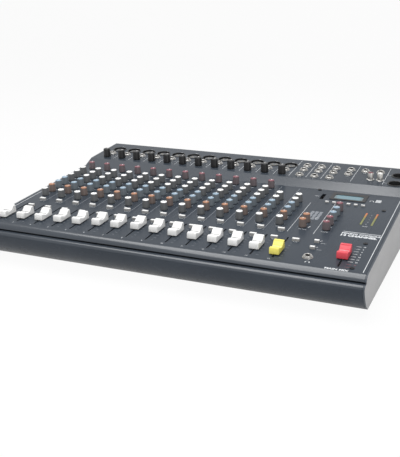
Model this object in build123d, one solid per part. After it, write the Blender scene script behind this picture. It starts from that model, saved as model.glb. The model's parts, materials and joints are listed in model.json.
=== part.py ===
"""Fourteen-channel desktop audio mixing console, in millimetres.

X runs to the right, Y to the rear and Z up. The origin is the middle of the footprint, on the
surface that the rubber feet stand on. Controls are placed by their X and by how far they lie up
the sloping panel that carries them, measured from that panel's lower edge.
"""
import os
from math import cos, radians, sin, tan

from build123d import *

# Casing
casing_width = 506.6
casing_depth = 372.4
foot_height = 5.0
foot_radius = 9.0
foot_inset_x = 34.0
foot_inset_y = 48.0
sheet = 1.5
cheek_thickness = 2.0
cheek_flange_length = 290.0
seam = 0.3

# Side profile: the front rail, the sloping control panel, the riser and the connector panel
cover_start = 17.9
cover_start_height = 45.75
control_slope = 4.42
riser_start = 270.9
ridge = 288.8
ridge_height = 73.7
connector_slope = 5.48
rear_flange = 12.0
lip_radius = 12.0
lip_sweep = 60.0
rail_wall = 2.0
rail_shelf = 36.9
rail_front_height = 32.0
rail_bottom = 27.0
pan_flange = 16.0
pan_setback = 3.0
cheek_flange_width = 13.0
rear_panel_gap = 1.0

# Rubber feet
foot_recess_radius = 3.8
foot_recess = 2.6
foot_bore = 2.2
foot_chamfer = 1.0

# Channel grid
channel_pitch = 27.0
mono_channels = 12
channels = 14
knob_x = -232.3
row_start = 108.4
row_pitch = 17.4
mono_rows = 7
stereo_rows = 6
gain_row = 239.3

# Rotary controls
knob_radius = 5.0
knob_top_radius = 4.6
knob_height = 11.0
knob_gap = 0.5
edge_chamfer = 0.5
shaft_radius = 2.5
shaft_reach = 8.0
running_clearance = 0.06
bush_radius = 3.6
pot_width = 9.6
pot_length = 11.0
pot_height = 6.8
pot_floor = 1.5
trim_knob_radius = 5.8
trim_knob_top_radius = 5.4
trim_knob_height = 13.0
trim_x = -231.1
trim_row = 13.7
master_knob_x = 178.7
effects_knob_x = 148.7

# Faders
slot_x = -235.9
slot_middle = 38.4
slot_length = 64.0
slot_width = 2.2
fader_travel = 60.0
main_fader_x = 217.7
cap_width = 12.0
cap_length = 24.0
cap_height = 9.8
cap_front_height = 7.2
cap_middle_height = 5.2
cap_gap = 1.5
lever_width = 1.0
lever_length = 3.6
lever_clearance = 0.2
lever_socket = 3.0
lever_reach = 4.0
ridge_setback = 1.2
dip_setback = 5.0
cap_fillet = 0.8
track_clearance = 0.4
track_depth = 4.6
housing_width = 8.5
housing_overhang = 5.0
channel_positions = [15, 18, 20, 23, 25, 29, 30, 33, 31, 29, 27, 26, 24, 23, 16]
main_position = 29

# Push buttons
button_width = 8.8
button_length = 4.0
button_height = 3.4
button_travel = 1.5
button_stem = 3.0
button_skirt = 1.3
plunger_width = 2.0
switch_width = 6.0
switch_length = 3.6
button_clearance = 0.3
solo_x = -223.9
solo_row = 89.4
mute_x = -224.4
mute_row = 62.5
source_button_x = 178.5
source_rows = [45.8, 65.8]
source_button_width = 6.0
display_button_x = 155.6
display_button_pitch = 9.76
display_button_row = 203.2
display_button_width = 5.0
display_button_length = 3.2
display_button_height = 2.2
display_buttons = 6

# Sockets
mic_x = -229.3
mic_row = 53.5
line_x = -230.4
line_row = 30.4
socket_radius = 10.9
mic_recess_radius = 9.7
mic_insert_radius = 7.2
mic_insert_sunk = 1.2
mic_floor = 1.5
socket_proud = 0.6
contact_circle = 3.9
contact_radius = 1.3
contact_depth = 12.0
pin_radius = 1.25
pin_length = 10.9
output_floor = 6.0
output_recess_radius = 9.0
output_x = 231.5
output_rows = [15.5, 50.0]
socket_depth = 24.0
jack_radius = 3.25
jack_bush_radius = 4.6
jack_width = 14.0
jack_proud = 2.8
nut_height = 1.9
nut_radius = 6.2
washer = 0.6
nut_bevel = 0.7
nut_clearance = 0.15
stereo_jack_x = [92.9, 115.3, 137.7]
stereo_jack_rows = [14.2, 37.3, 56.9]
aux_jack_x = 160.1
return_jack_x = [181.6, 203.4]
phones_jack_x = 179.9
phones_row = 20.4
phono_x = [195.0, 208.4]
phono_row = 23.6
phono_radius = 4.15
phono_length = 10.5
phono_flange_radius = 6.2
phono_bore_radius = 1.6
phono_bore_depth = 4.0

# Display, memory slot and level meters
display_x = 179.5
display_row = 231.8
display_width = 49.0
display_length = 29.0
window_width = 39.0
window_length = 15.0
window_offset = -2.5
bezel_proud = 0.8
bezel_width = 2.0
window_clearance = 0.2
window_sunk = 0.4
media_x = 144.2
media_row = 225.2
media_width = 5.2
media_length = 21.0
media_opening_width = 4.8
media_opening_length = 13.4
media_depth = 18.0
media_wall = 2.0
media_floor = 1.2
meter_x = [214.7, 228.4]
meter_row = 159.0
meter_pitch = 4.2
meter_steps = 10
led_width = 2.2
led_length = 3.4
led_proud = 0.25

# Boards and supply
board = 1.6
control_board_depth = 9.4
board_side_gap = 3.0
board_front_gap = 4.0
board_rear_gap = 6.0
connector_board_gap = 12.0
connector_board_start = 2.0
relief_gap = 1.0
supply_width = 120.0
supply_length = 72.0
supply_x = -150.0
supply_from_rear = 62.0
post_radius = 3.0
post_height = 5.9
post_inset = 5.0
transformer = (-34.0, 4.0)
transformer_width = 38.0
transformer_length = 32.0
transformer_height = 24.0
capacitor_start = (2.0, -20.0)
capacitor_pitch = 13.0
capacitor_radius = 5.5
capacitor_height = 22.0
capacitors = 4
sink = (28.0, 8.0)
sink_width = 44.0
sink_plate = 3.0
sink_fin = 1.6
sink_fin_length = 8.0
sink_fin_inset = 3.0
sink_fin_shift = 5.0
sink_fins = 6

# Rear panel fittings
inlet_x = -170.0
inlet_width = 27.0
inlet_height = 19.6
inlet_depth = 25.0
inlet_wall = 2.0
inlet_recess = 16.0
fitting_lip = 1.5
fitting_lip_width = 3.0
blade_width = 2.0
blade_height = 4.0
blade_length = 13.0
blade_pitch = 7.0
blade_offset = 2.0
rocker_x = -130.0
rocker_width = 12.6
rocker_height = 19.0
rocker_tilt = 10.0
rocker_pivot = 1.2
rocker_sunk = 4.0
rocker_crown = 12.0
rocker_rise = 2.4
rocker_depth = 10.0
rocker_side_gap = 0.8
rocker_end_gap = 2.3
switch_frame_depth = 18.0
switch_frame_hollow = 11.0
switch_frame_side = 0.6
switch_frame_end = 1.2
rear_fitting_height = 40.0
vent_x = 60.0
vent_pitch = 9.0
vent_height = 28.0
vent_width = 3.0
vents = 12

# Fasteners
screw_radius = 1.5
screw_head_radius = 2.7
screw_head = 0.9
screw_clearance = 0.25
screw_slot_width = 0.7
screw_slot_length = 3.6
screw_slot_depth = 0.4
cover_screw_length = 6.5
case_screw_inset = 7.0
case_screw_pitch = 110.0
foot_screw_radius = 2.0
foot_screw_head_radius = 3.4
foot_screw_seat = 2.5
foot_screw_head = 1.7
foot_screw_end = 3.0
foot_nut_radius = 3.5
foot_nut = 2.3
cover_screws = [(133.3, 250.5), (233.3, 194.4), (233.3, 79.4), (233.3, 7.4)]
standoff_radius = 3.0

# Clearance between pieces that meet face to face
contact = 0.1

# Box and cylinder alignments: standing on the origin, or reaching forward from it
on_base = (Align.CENTER, Align.CENTER, Align.MIN)
inward = (Align.CENTER, Align.MAX, Align.CENTER)

# Worked out from the sizes above
front_y = -casing_depth / 2
inner_width = casing_width - 2 * (cheek_thickness + seam)
rise = tan(radians(control_slope))
riser_height = cover_start_height + (riser_start - cover_start) * rise
rear_height = ridge_height + (casing_depth - ridge) * tan(radians(connector_slope))
connector_board_depth = socket_depth + sheet + 2 * seam
pot_top = -sheet - seam
housing_top = -sheet - seam
housing_height = control_board_depth - sheet - 2 * seam


def sloped_plane(depth, height, slope):
    """Plane of a sloping panel's outer face, with its local Y up the slope."""
    normal = (0, -sin(radians(slope)), cos(radians(slope)))
    return Plane(origin=(0, front_y + depth, foot_height + height), x_dir=(1, 0, 0), z_dir=normal)


control_plane = sloped_plane(cover_start, cover_start_height, control_slope)
connector_plane = sloped_plane(ridge, ridge_height, connector_slope)


def point(depth, height):
    """Point of the side profile, from the foremost point and the underside of the casing."""
    return (front_y + depth, foot_height + height)


def place(shape, plane, x, row):
    """A copy of a shape drawn at the origin, stood on a sloping panel."""
    return plane.location * Pos(x, row, 0) * shape


def block(width, length, bottom, top):
    """Box on the Z axis between two heights."""
    return Pos(0, 0, bottom) * Box(width, length, top - bottom, align=on_base)


def disc(radius, bottom, top):
    """Cylinder on the Z axis between two heights."""
    return Pos(0, 0, bottom) * Cylinder(radius, top - bottom, align=on_base)


def place_each(pieces, seats):
    """Copies of a socket's pieces on every seat of the connector panel."""
    return [place(piece, connector_plane, x, row) for x, row in seats for piece in pieces]


def save(node, shapes):
    """Write one node's separate solids to its STEP file."""
    solids = [solid for shape in shapes for solid in shape.solids()]
    group = Compound(children=solids)
    group.label = node
    export_step(group, os.path.join("parts", node + ".step"))


# Casing -----------------------------------------------------------------------------------

def cover_outline():
    """Outer path of the folded top cover, from the front lip to the rear flange."""
    normal = Vector(-sin(radians(control_slope)), cos(radians(control_slope)))
    start = Vector(*point(cover_start, cover_start_height))
    lip = CenterArc(start - lip_radius * normal, lip_radius, 90 + control_slope, lip_sweep)
    folds = Polyline(
        lip @ 0,
        point(riser_start, riser_height),
        point(ridge, ridge_height),
        point(casing_depth, rear_height),
        point(casing_depth, rear_height - rear_flange),
    )
    return lip, folds


def rail_outline():
    """Outer path of the front rail: a shelf under the lip, a rounded bead and a raked face."""
    bead_start = point(5.0, rail_shelf)
    bead_end = point(0.0, rail_front_height)
    shelf = Line(point(22.0, rail_shelf), bead_start)
    bead = ThreePointArc(bead_start, point(1.4, rail_shelf - 1.5), bead_end)
    face = ThreePointArc(bead_end, point(10.9, 14.4), point(rail_bottom, 0.0))
    return shelf, bead, face


def folded_sheet(path, thickness, width):
    """Bend a sheet along a side path, with its thickness on the inner side."""
    wire = Wire([edge for part in path for edge in part.edges()])
    face = make_face(offset(wire, amount=thickness, side=Side.LEFT).edges())
    return extrude(Plane.YZ * face, amount=width / 2, both=True)


def pot_seats():
    """Panel, X and row of every rotary control, by the group it belongs to."""
    seats = {"channel": [], "master": [], "effects": [], "trim": []}
    for channel in range(channels):
        x = knob_x + channel * channel_pitch
        rows = mono_rows if channel < mono_channels else stereo_rows
        seats["channel"] += [(x, row_start + row * row_pitch) for row in range(rows)]
        if channel < mono_channels:
            seats["channel"].append((x, gain_row))
            seats["trim"].append((trim_x + channel * channel_pitch, trim_row))
    seats["master"] = [(master_knob_x, row_start + row * row_pitch) for row in range(5)]
    seats["effects"] = [(effects_knob_x, row_start + row * row_pitch) for row in range(2)]
    return seats


def fader_seats():
    """X and rest position of every fader, the main one last."""
    low_end = slot_middle - fader_travel / 2
    rows = [low_end + position for position in channel_positions]
    seats = [(slot_x + index * channel_pitch, row) for index, row in enumerate(rows)]
    return seats + [(main_fader_x, low_end + main_position)]


def button_seats():
    """X, row and cap size of every push button, by group."""
    large = (button_width, button_length, button_height)
    small = (display_button_width, display_button_length, display_button_height)
    source = (source_button_width, button_length, button_height)
    seats = {"channel": [], "source": [], "display": []}
    for channel in range(channels):
        seats["channel"].append((solo_x + channel * channel_pitch, solo_row, large))
    for channel in range(channels + 1):
        seats["channel"].append((mute_x + channel * channel_pitch, mute_row, large))
    seats["source"] = [(source_button_x, row, source) for row in source_rows]
    for index in range(display_buttons):
        x = display_button_x + index * display_button_pitch
        seats["display"].append((x, display_button_row, small))
    return seats


def jack_seats():
    """Plane, X and row of every quarter-inch jack socket."""
    seats = [(line_x + index * channel_pitch, line_row) for index in range(mono_channels)]
    seats += [(x, row) for x in stereo_jack_x for row in stereo_jack_rows]
    seats += [(aux_jack_x, row) for row in stereo_jack_rows[1:]]
    seats += [(x, stereo_jack_rows[-1]) for x in return_jack_x]
    return [(connector_plane, x, row) for x, row in seats] + [(control_plane, phones_jack_x, phones_row)]


def mic_seats():
    """X and row of every microphone socket."""
    return [(mic_x + index * channel_pitch, mic_row) for index in range(mono_channels)]


def control_holes():
    """Everything that passes through the control panel, as one sketch on it."""
    seats = pot_seats()
    holes = Sketch()
    for x, row in seats["channel"] + seats["master"] + seats["effects"]:
        holes += Pos(x, row) * Circle(bush_radius + seam)
    for x, _ in fader_seats():
        holes += Pos(x, slot_middle) * SlotOverall(slot_length, slot_width, rotation=90)
    for group in button_seats().values():
        for x, row, (width, length, _) in group:
            holes += Pos(x, row) * Rectangle(width + 2 * button_clearance, length + 2 * button_clearance)
    for x, row in cover_screws:
        holes += Pos(x, row) * Circle(screw_radius + screw_clearance)
    for x in meter_x:
        holes += Pos(x, meter_row) * Rectangle(led_width + 2 * seam, meter_steps * meter_pitch)
    holes += Pos(phones_jack_x, phones_row) * Circle(jack_bush_radius + seam)
    opening = (display_width - 2 * bezel_width, display_length - 2 * bezel_width)
    holes += Pos(display_x, display_row) * Rectangle(*opening)
    holes += Pos(media_x, media_row) * Rectangle(media_width, media_length)
    return holes


def connector_holes():
    """Everything that passes through the connector panel, as one sketch on it."""
    holes = Sketch()
    for x, row in pot_seats()["trim"]:
        holes += Pos(x, row) * Circle(bush_radius + seam)
    for x, row in mic_seats() + [(output_x, row) for row in output_rows]:
        holes += Pos(x, row) * Circle(socket_radius + seam)
    for plane, x, row in jack_seats():
        if plane is connector_plane:
            holes += Pos(x, row) * Circle(jack_bush_radius + seam)
    for x in phono_x:
        holes += Pos(x, phono_row) * Circle(phono_radius + seam)
    return holes


def top_cover():
    """Folded sheet that carries every control and socket."""
    cover = folded_sheet(cover_outline(), sheet, inner_width)
    cutters = []
    for plane, holes in ((control_plane, control_holes()), (connector_plane, connector_holes())):
        cutters += extrude(plane * holes, amount=2 * sheet, both=True).solids()
    return cover - cutters


def front_rail():
    """Bent front rail between the cheeks, under the cover's lip."""
    return folded_sheet(rail_outline(), rail_wall, inner_width)


def pan_seats():
    """Feet positions under the base."""
    x = casing_width / 2 - foot_inset_x
    y = casing_depth / 2 - foot_inset_y
    return [(side * x, end * y) for side in (-1, 1) for end in (-1, 1)]


def case_screw_seats():
    """Screws up through the base into the flange of each cheek."""
    x = casing_width / 2 - cheek_thickness - case_screw_inset
    return [(side * x, step * case_screw_pitch) for side in (-1, 1) for step in (-1, 0, 1)]


def base_pan():
    """Bottom tray with a front and a rear flange."""
    path = Polyline(
        point(rail_bottom + pan_setback, pan_flange),
        point(rail_bottom + pan_setback, 0),
        point(casing_depth - 2 * sheet - 2 * seam, 0),
        point(casing_depth - 2 * sheet - 2 * seam, pan_flange),
    )
    pan = folded_sheet([path], sheet, inner_width)
    holes = [Pos(x, y, 0) * disc(foot_bore, 0, 3 * foot_height) for x, y in pan_seats()]
    reach = screw_radius + screw_clearance
    holes += [Pos(x, y, 0) * disc(reach, 0, 3 * foot_height) for x, y in case_screw_seats()]
    return pan - [hole.solid() for hole in holes]


def cheek(side):
    """End plate with the casing's whole side profile and a flange turned in over the base."""
    cover = cover_outline()
    rail = rail_outline()
    lip_end = cover[0] @ 1
    groove = Polyline(lip_end, (lip_end.X + 1.0, point(0, rail_shelf)[1]), rail[1] @ 0)
    closing = Polyline(rail[2] @ 1, point(casing_depth, 0), cover[1] @ 1)
    edges = [edge for part in (*cover, groove, rail[1], rail[2], closing) for edge in part.edges()]
    outline = make_face(edges)
    plate = extrude(Plane.YZ * outline, amount=side * cheek_thickness)
    plate = Pos(side * (casing_width / 2 - cheek_thickness), 0, 0) * plate
    flange = Box(cheek_flange_width, cheek_flange_length, sheet, align=on_base)
    flange_x = casing_width / 2 - cheek_thickness - cheek_flange_width / 2
    body = plate + Pos(side * flange_x, 0, foot_height + sheet + seam) * flange
    holes = []
    for x, y in case_screw_seats():
        if x * side > 0:
            hole = Pos(x, y, 0) * disc(screw_radius + running_clearance, 0, 3 * foot_height)
            holes.append(hole.solid())
    return body - holes


def rear_panel():
    """Upright rear wall with the inlet, the switch and cooling slots."""
    bottom = foot_height + sheet + seam
    top = foot_height + rear_height - sheet - rear_panel_gap
    wall = Box(inner_width, sheet, top - bottom, align=(Align.CENTER, Align.MAX, Align.MIN))
    rear = casing_depth / 2 - sheet - seam
    wall = Pos(0, rear, bottom) * wall
    openings = [(inlet_x, inlet_width, inlet_height), (rocker_x, rocker_width, rocker_height)]
    cutters = []
    for x, width, height in openings:
        slack = 2 * seam
        cutters.append(Pos(x, rear, rear_fitting_height) * Box(width + slack, 4 * sheet, height + slack))
    for index in range(vents):
        outline = SlotOverall(vent_height, vent_width, rotation=90)
        slot = Rot(90, 0, 0) * extrude(outline, amount=4 * sheet, both=True)
        cutters.append(Pos(vent_x + index * vent_pitch, rear, rear_fitting_height) * slot)
    return wall - [cutter.solid() for cutter in cutters]


def feet():
    """Rubber feet with a recess for their screw."""
    foot = disc(foot_radius, 0, foot_height - contact) - disc(foot_recess_radius, -1, foot_recess)
    foot = (foot - disc(foot_bore, 0, foot_height)).solid()
    foot = chamfer(foot.edges().group_by(Axis.Z)[0].sort_by(SortBy.RADIUS)[-1], foot_chamfer)
    return [Pos(x, y, 0) * foot for x, y in pan_seats()]


def case_screws():
    """Cover screws in their standoffs and case screws in the cheek flanges."""
    head = disc(screw_head_radius, contact / 2, screw_head)
    cover_screw = head + disc(screw_radius, -cover_screw_length, contact)
    slot = Box(screw_slot_width, screw_slot_length, 2 * screw_slot_depth)
    cover_screw = cover_screw - Pos(0, 0, screw_head) * slot
    screws = [place(cover_screw, control_plane, x, row) for x, row in cover_screws]
    case_screw = Rot(180, 0, 0) * (head + disc(screw_radius, -(2 * sheet + 2 * seam), contact))
    screws += [Pos(x, y, foot_height) * case_screw for x, y in case_screw_seats()]
    return screws


def foot_screws():
    """Screws that hold the feet to the base, each with its nut's thread above."""
    floor = foot_height + sheet
    screw = disc(foot_screw_head_radius, foot_screw_seat - foot_screw_head, foot_screw_seat)
    screw += disc(foot_screw_radius, foot_screw_seat - contact, floor + foot_screw_end)
    screw += disc(foot_nut_radius, floor + contact, floor + contact + foot_nut)
    return [Pos(x, y, 0) * screw for x, y in pan_seats()]


# Boards -----------------------------------------------------------------------------------

def control_board():
    """Circuit board under the control panel, relieved for the main sockets and the slot reader."""
    upper = (riser_start - cover_start) / cos(radians(control_slope)) - board_rear_gap
    length = upper - board_front_gap
    bottom = -control_board_depth - board
    plate = block(inner_width - 2 * board_side_gap, length, bottom, -control_board_depth)
    plate = Pos(0, (upper + board_front_gap) / 2, 0) * plate
    jack_side = jack_width + 2 * relief_gap
    jack_relief = block(jack_side, jack_side, 2 * bottom, 0)
    slack = 2 * (media_wall + relief_gap)
    media_relief = block(media_width + slack, media_length + slack, 2 * bottom, 0)
    cuts = [Pos(phones_jack_x, phones_row, 0) * jack_relief, Pos(media_x, media_row, 0) * media_relief]
    bore = disc(screw_radius + screw_clearance, 2 * bottom, 0)
    cuts += [Pos(x, row, 0) * bore for x, row in cover_screws]
    return control_plane.location * (plate - [cut.solid() for cut in cuts])


def connector_board():
    """Circuit board that carries every input and output socket."""
    length = (casing_depth - ridge) / cos(radians(connector_slope)) - connector_board_gap
    top = -connector_board_depth
    plate = block(inner_width - 2 * board_side_gap, length, top - board, top)
    return place(plate, connector_plane, 0, length / 2 + connector_board_start)


def board_standoffs():
    """Threaded pillars between the cover and the control board."""
    pillar = disc(standoff_radius, -control_board_depth + contact, -sheet - contact)
    pillar = pillar - disc(screw_radius + running_clearance, -2 * control_board_depth, 0)
    return [place(pillar, control_plane, x, row) for x, row in cover_screws]


def power_supply():
    """Supply board on posts with a transformer, capacitors and a heat sink."""
    floor = foot_height + sheet
    reach_x = supply_width / 2 - post_inset
    reach_y = supply_length / 2 - post_inset
    post = disc(post_radius, contact, post_height)
    posts = [Pos(dx * reach_x, dy * reach_y, 0) * post for dx in (-1, 1) for dy in (-1, 1)]
    underside = post_height + contact
    plate = block(supply_width, supply_length, underside, underside + board)
    top = underside + board + contact
    core = block(transformer_width, transformer_length, top, top + transformer_height)
    core = Pos(*transformer, 0) * core
    can = Pos(*capacitor_start, 0) * disc(capacitor_radius, top, top + capacitor_height)
    cans = [Pos(capacitor_pitch * index, 0, 0) * can for index in range(capacitors)]
    heat_sink = Pos(*sink, 0) * block(sink_width, sink_plate, top, top + transformer_height)
    fin = block(sink_fin, sink_fin_length, top, top + transformer_height)
    fin_pitch = (sink_width - sink_fin_inset * 2) / (sink_fins - 1)
    fin_y = sink[1] + sink_fin_shift
    for index in range(sink_fins):
        fin_x = sink[0] - sink_width / 2 + sink_fin_inset + index * fin_pitch
        heat_sink += Pos(fin_x, fin_y, 0) * fin
    pieces = [*posts, plate, core, *cans, heat_sink]
    return [Pos(supply_x, casing_depth / 2 - supply_from_rear, floor) * piece for piece in pieces]


# Rotary controls --------------------------------------------------------------------------

def knob(radius, top_radius, height):
    """Plain knob body with a blind bore for its shaft."""
    body = Pos(0, 0, knob_gap) * Cone(radius, top_radius, height, align=on_base)
    body = chamfer(body.edges().group_by(Axis.Z)[-1], edge_chamfer)
    return body - disc(shaft_radius + running_clearance, 0, knob_gap + shaft_reach)


def shaft():
    """Potentiometer shaft from its body up into the knob."""
    return disc(shaft_radius, pot_top - pot_height + pot_floor, knob_gap + shaft_reach - contact)


def rotary_set(seats, plane, radius=knob_radius, top_radius=knob_top_radius, height=knob_height):
    """Knobs with their shafts on every seat."""
    prototype = [knob(radius, top_radius, height), shaft()]
    return [place(piece, plane, x, row) for x, row in seats for piece in prototype]


def pot_body(depth):
    """Potentiometer body with a bush, bored for its shaft and deep enough to reach its board."""
    body = block(pot_width, pot_length, -depth + seam, pot_top)
    body += disc(bush_radius, pot_top - contact, knob_gap - 2 * contact)
    floor = pot_top - pot_height + pot_floor - contact
    return body - disc(shaft_radius + running_clearance, floor, knob_gap)


def pot_bodies(seats):
    """Bodies of all the rotary controls."""
    low = pot_body(control_board_depth)
    high = pot_body(connector_board_depth)
    on_control = seats["channel"] + seats["master"] + seats["effects"]
    bodies = [place(low, control_plane, x, row) for x, row in on_control]
    return bodies + [place(high, connector_plane, x, row) for x, row in seats["trim"]]


# Faders -----------------------------------------------------------------------------------

def fader_cap():
    """Saddle-shaped cap, higher at its rear, with a socket for its lever on the Z axis."""
    half = cap_length / 2
    ridge_end = half - ridge_setback
    dip_end = half - dip_setback
    front = [(-dip_end, cap_front_height), (-ridge_end, cap_front_height), (-half, 0)]
    rear = [(half, 0), (ridge_end, cap_height), (dip_end, cap_height)]
    sides = Polyline(*front, *rear)
    dip = ThreePointArc(rear[-1], (0, cap_middle_height), front[0])
    profile = make_face([*sides.edges(), *dip.edges()])
    body = extrude(Plane.YZ * profile, amount=cap_width / 2, both=True)
    corners = body.edges().filter_by(Axis.X).filter_by_position(Axis.Z, cap_fillet, cap_height + contact)
    body = fillet(corners, cap_fillet)
    slack = 2 * lever_clearance
    socket = block(lever_width + slack, lever_length + slack, -1, lever_socket)
    return Pos(0, 0, cap_gap) * (body - socket)


def fader_lever():
    """Steel lever from the housing's track up into the cap."""
    top = cap_gap + lever_socket - lever_clearance
    return block(lever_width, lever_length, housing_top - lever_reach, top)


def fader(seat):
    """One fader's moving pieces at rest."""
    x, row = seat
    return [place(piece, control_plane, x, row) for piece in (fader_cap(), fader_lever())]


def fader_housings():
    """Closed housings under the slots, each with the track that its lever runs in."""
    length = slot_length + 2 * housing_overhang
    body = block(housing_width, length, housing_top - housing_height, housing_top)
    track_width = lever_width + 2 * track_clearance
    track = block(track_width, slot_length, housing_top - track_depth, 0)
    housing = body - track
    return [place(housing, control_plane, x, slot_middle) for x, _ in fader_seats()]


# Push buttons -----------------------------------------------------------------------------

def button(size):
    """Button cap with the plunger that works its switch."""
    width, length, height = size
    cap = block(width, length, -button_skirt, height)
    cap = chamfer(cap.edges().group_by(Axis.Z)[-1], edge_chamfer)
    bottom = -control_board_depth + button_stem + button_travel + button_clearance
    return cap + block(plunger_width, plunger_width, bottom, 0)


def button_set(seats):
    """Buttons on every seat."""
    return [place(button(size), control_plane, x, row) for x, row, size in seats]


def switch_bodies(seats):
    """Switches on the control board, one under each button."""
    top = -control_board_depth + button_stem
    body = block(switch_width, switch_length, -control_board_depth + contact, top)
    return [place(body, control_plane, x, row) for group in seats.values() for x, row, _ in group]


# Sockets ----------------------------------------------------------------------------------

def mic_socket():
    """Microphone socket: a shell with a ring-shaped recess round a sunk insert with three contacts."""
    floor = -socket_depth + mic_floor
    shell = disc(socket_radius, -socket_depth - sheet, socket_proud)
    shell = shell - disc(mic_recess_radius, floor, 2 * socket_proud)
    insert = disc(mic_insert_radius, floor + 2 * contact, -mic_insert_sunk)
    bore = Pos(contact_circle, 0, 0) * disc(contact_radius, -mic_insert_sunk - contact_depth, 0)
    for angle in (30, 150, 270):
        insert = insert - Rot(0, 0, angle) * bore
    return [shell, insert]


def output_socket():
    """Main output socket: a shell with a recess and three pins on its floor."""
    floor = -socket_depth + output_floor
    shell = disc(socket_radius, -socket_depth - sheet, socket_proud)
    shell = shell - disc(output_recess_radius, floor, 2 * socket_proud)
    pin = disc(pin_radius, floor + contact, floor + contact + pin_length)
    pin = fillet(pin.edges().group_by(Axis.Z)[-1], cap_fillet)
    pins = [Rot(0, 0, angle) * Pos(contact_circle, 0, 0) * pin for angle in (90, 210, 330)]
    return [shell, *pins]


def jack_socket():
    """Quarter-inch jack socket with a threaded neck."""
    body = block(jack_width, jack_width, -socket_depth - sheet, -sheet - seam)
    body += disc(jack_bush_radius, -2 * sheet, jack_proud)
    return body - disc(jack_radius, -socket_depth + 1, 2 * jack_proud)


def jack_nut():
    """Chrome ring nut on a washer."""
    ring = extrude(RegularPolygon(nut_radius - nut_bevel, 12), amount=nut_height - washer)
    nut = disc(nut_radius, contact, washer) + Pos(0, 0, washer) * ring
    return nut - disc(jack_bush_radius + nut_clearance, 0, 2 * nut_height)


def phono_socket():
    """Phono socket: an insulating base under the panel and a sleeve standing through it."""
    sleeve = disc(phono_radius, -2 * sheet, phono_length)
    sleeve = sleeve + disc(phono_flange_radius, -connector_board_depth + seam, -sheet - seam)
    return sleeve - disc(phono_bore_radius, -phono_bore_depth, 2 * phono_length)


# Display, slot and meters -----------------------------------------------------------------

def display_module():
    """Display body with a raised bezel round its window."""
    inset = 2 * (bezel_width + seam)
    body = block(display_width - inset, display_length - inset, -control_board_depth + contact, contact)
    body += block(display_width, display_length, contact, bezel_proud)
    slack = 2 * window_clearance
    recess = block(window_width + slack, window_length + slack, -1.0, 2 * bezel_proud)
    return body - Pos(0, window_offset, 0) * recess


def display_window():
    """Clear window seated in the bezel's recess."""
    pane = block(window_width, window_length, contact - 1.0, bezel_proud - window_sunk)
    return place(pane, control_plane, display_x, display_row + window_offset)


def media_socket():
    """Memory-stick socket hung behind its slot."""
    width = media_width + 2 * media_wall
    body = block(width, media_length + 2 * media_wall, -media_depth, -sheet - seam)
    mouth = block(media_width, media_length, -sheet - media_wall, 0)
    cavity = block(media_opening_width, media_opening_length, -media_depth + media_floor, 0)
    return body - [mouth.solid(), cavity.solid()]


def meter_leds():
    """Two ladders of lamps that stand on the board and show through their slots."""
    lamp = block(led_width, led_length, -control_board_depth + contact, led_proud)
    start = meter_row - (meter_steps - 1) * meter_pitch / 2
    rows = [start + index * meter_pitch for index in range(meter_steps)]
    return [place(lamp, control_plane, x, row) for x in meter_x for row in rows]


# Rear fittings ----------------------------------------------------------------------------

def mains_inlet():
    """Appliance inlet with three blades in a recess that opens to the rear."""
    rear = casing_depth / 2 - sheet - seam
    seat = Pos(inlet_x, rear, rear_fitting_height)
    shell = Box(inlet_width, inlet_depth, inlet_height, align=inward)
    lip_slack = 2 * fitting_lip_width
    lip = Box(inlet_width + lip_slack, fitting_lip, inlet_height + lip_slack, align=inward)
    shell += Pos(0, -sheet - contact, 0) * lip
    wall_slack = 2 * inlet_wall
    recess = Box(inlet_width - wall_slack, inlet_recess + 1, inlet_height - wall_slack, align=inward)
    shell = seat * (shell - Pos(0, 1, 0) * recess)
    blade = Box(blade_width, blade_length, blade_height, align=(Align.CENTER, Align.MIN, Align.CENTER))
    blades = []
    for step, lift in ((-1, -1), (0, 1), (1, -1)):
        x = inlet_x + step * blade_pitch
        z = rear_fitting_height + lift * blade_offset
        blades.append(Pos(x, rear - inlet_recess + contact, z) * blade)
    return [shell, *blades]


def rocker_centre():
    """Middle of the power rocker's pivot."""
    return (rocker_x, casing_depth / 2 - sheet - seam - rocker_sunk, rear_fitting_height)


def power_rocker():
    """Rocker of the mains switch on its pivot, at rest with its lower end pressed in."""
    width = rocker_width - 2 * rocker_side_gap
    front = Box(width, rocker_depth, rocker_height - 2 * rocker_end_gap)
    crown = Pos(0, rocker_rise - rocker_crown, 0) * Rot(0, 90, 0) * Cylinder(rocker_crown, width)
    paddle = front & crown
    pivot = Rot(0, 90, 0) * Cylinder(rocker_pivot, rocker_width - 4 * contact)
    return Pos(*rocker_centre()) * Rot(rocker_tilt, 0, 0) * (paddle + pivot)


def power_switch_frame():
    """Frame of the mains switch, with a bearing each side for the rocker's pivot."""
    rear = casing_depth / 2 - sheet - seam
    body = Box(rocker_width, switch_frame_depth, rocker_height, align=inward)
    lip_slack = fitting_lip_width
    lip = Box(rocker_width + lip_slack, switch_frame_end, rocker_height + lip_slack, align=inward)
    body = body + Pos(0, -sheet - contact, 0) * lip
    width = rocker_width - 2 * switch_frame_side
    height = rocker_height - 2 * switch_frame_end
    hollow = Box(width, switch_frame_hollow + 1, height, align=inward)
    bearing = Rot(0, 90, 0) * Cylinder(rocker_pivot + running_clearance, 2 * rocker_width)
    body = Pos(rocker_x, rear, rear_fitting_height) * (body - Pos(0, 1, 0) * hollow)
    return body - Pos(*rocker_centre()) * bearing


# Nodes ------------------------------------------------------------------------------------

def write_casing():
    save("top_cover", [top_cover()])
    save("front_rail", [front_rail()])
    save("base_pan", [base_pan()])
    save("left_cheek", [cheek(-1)])
    save("right_cheek", [cheek(1)])
    save("rear_panel", [rear_panel()])
    save("feet", feet())
    save("screws", case_screws() + foot_screws())


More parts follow.
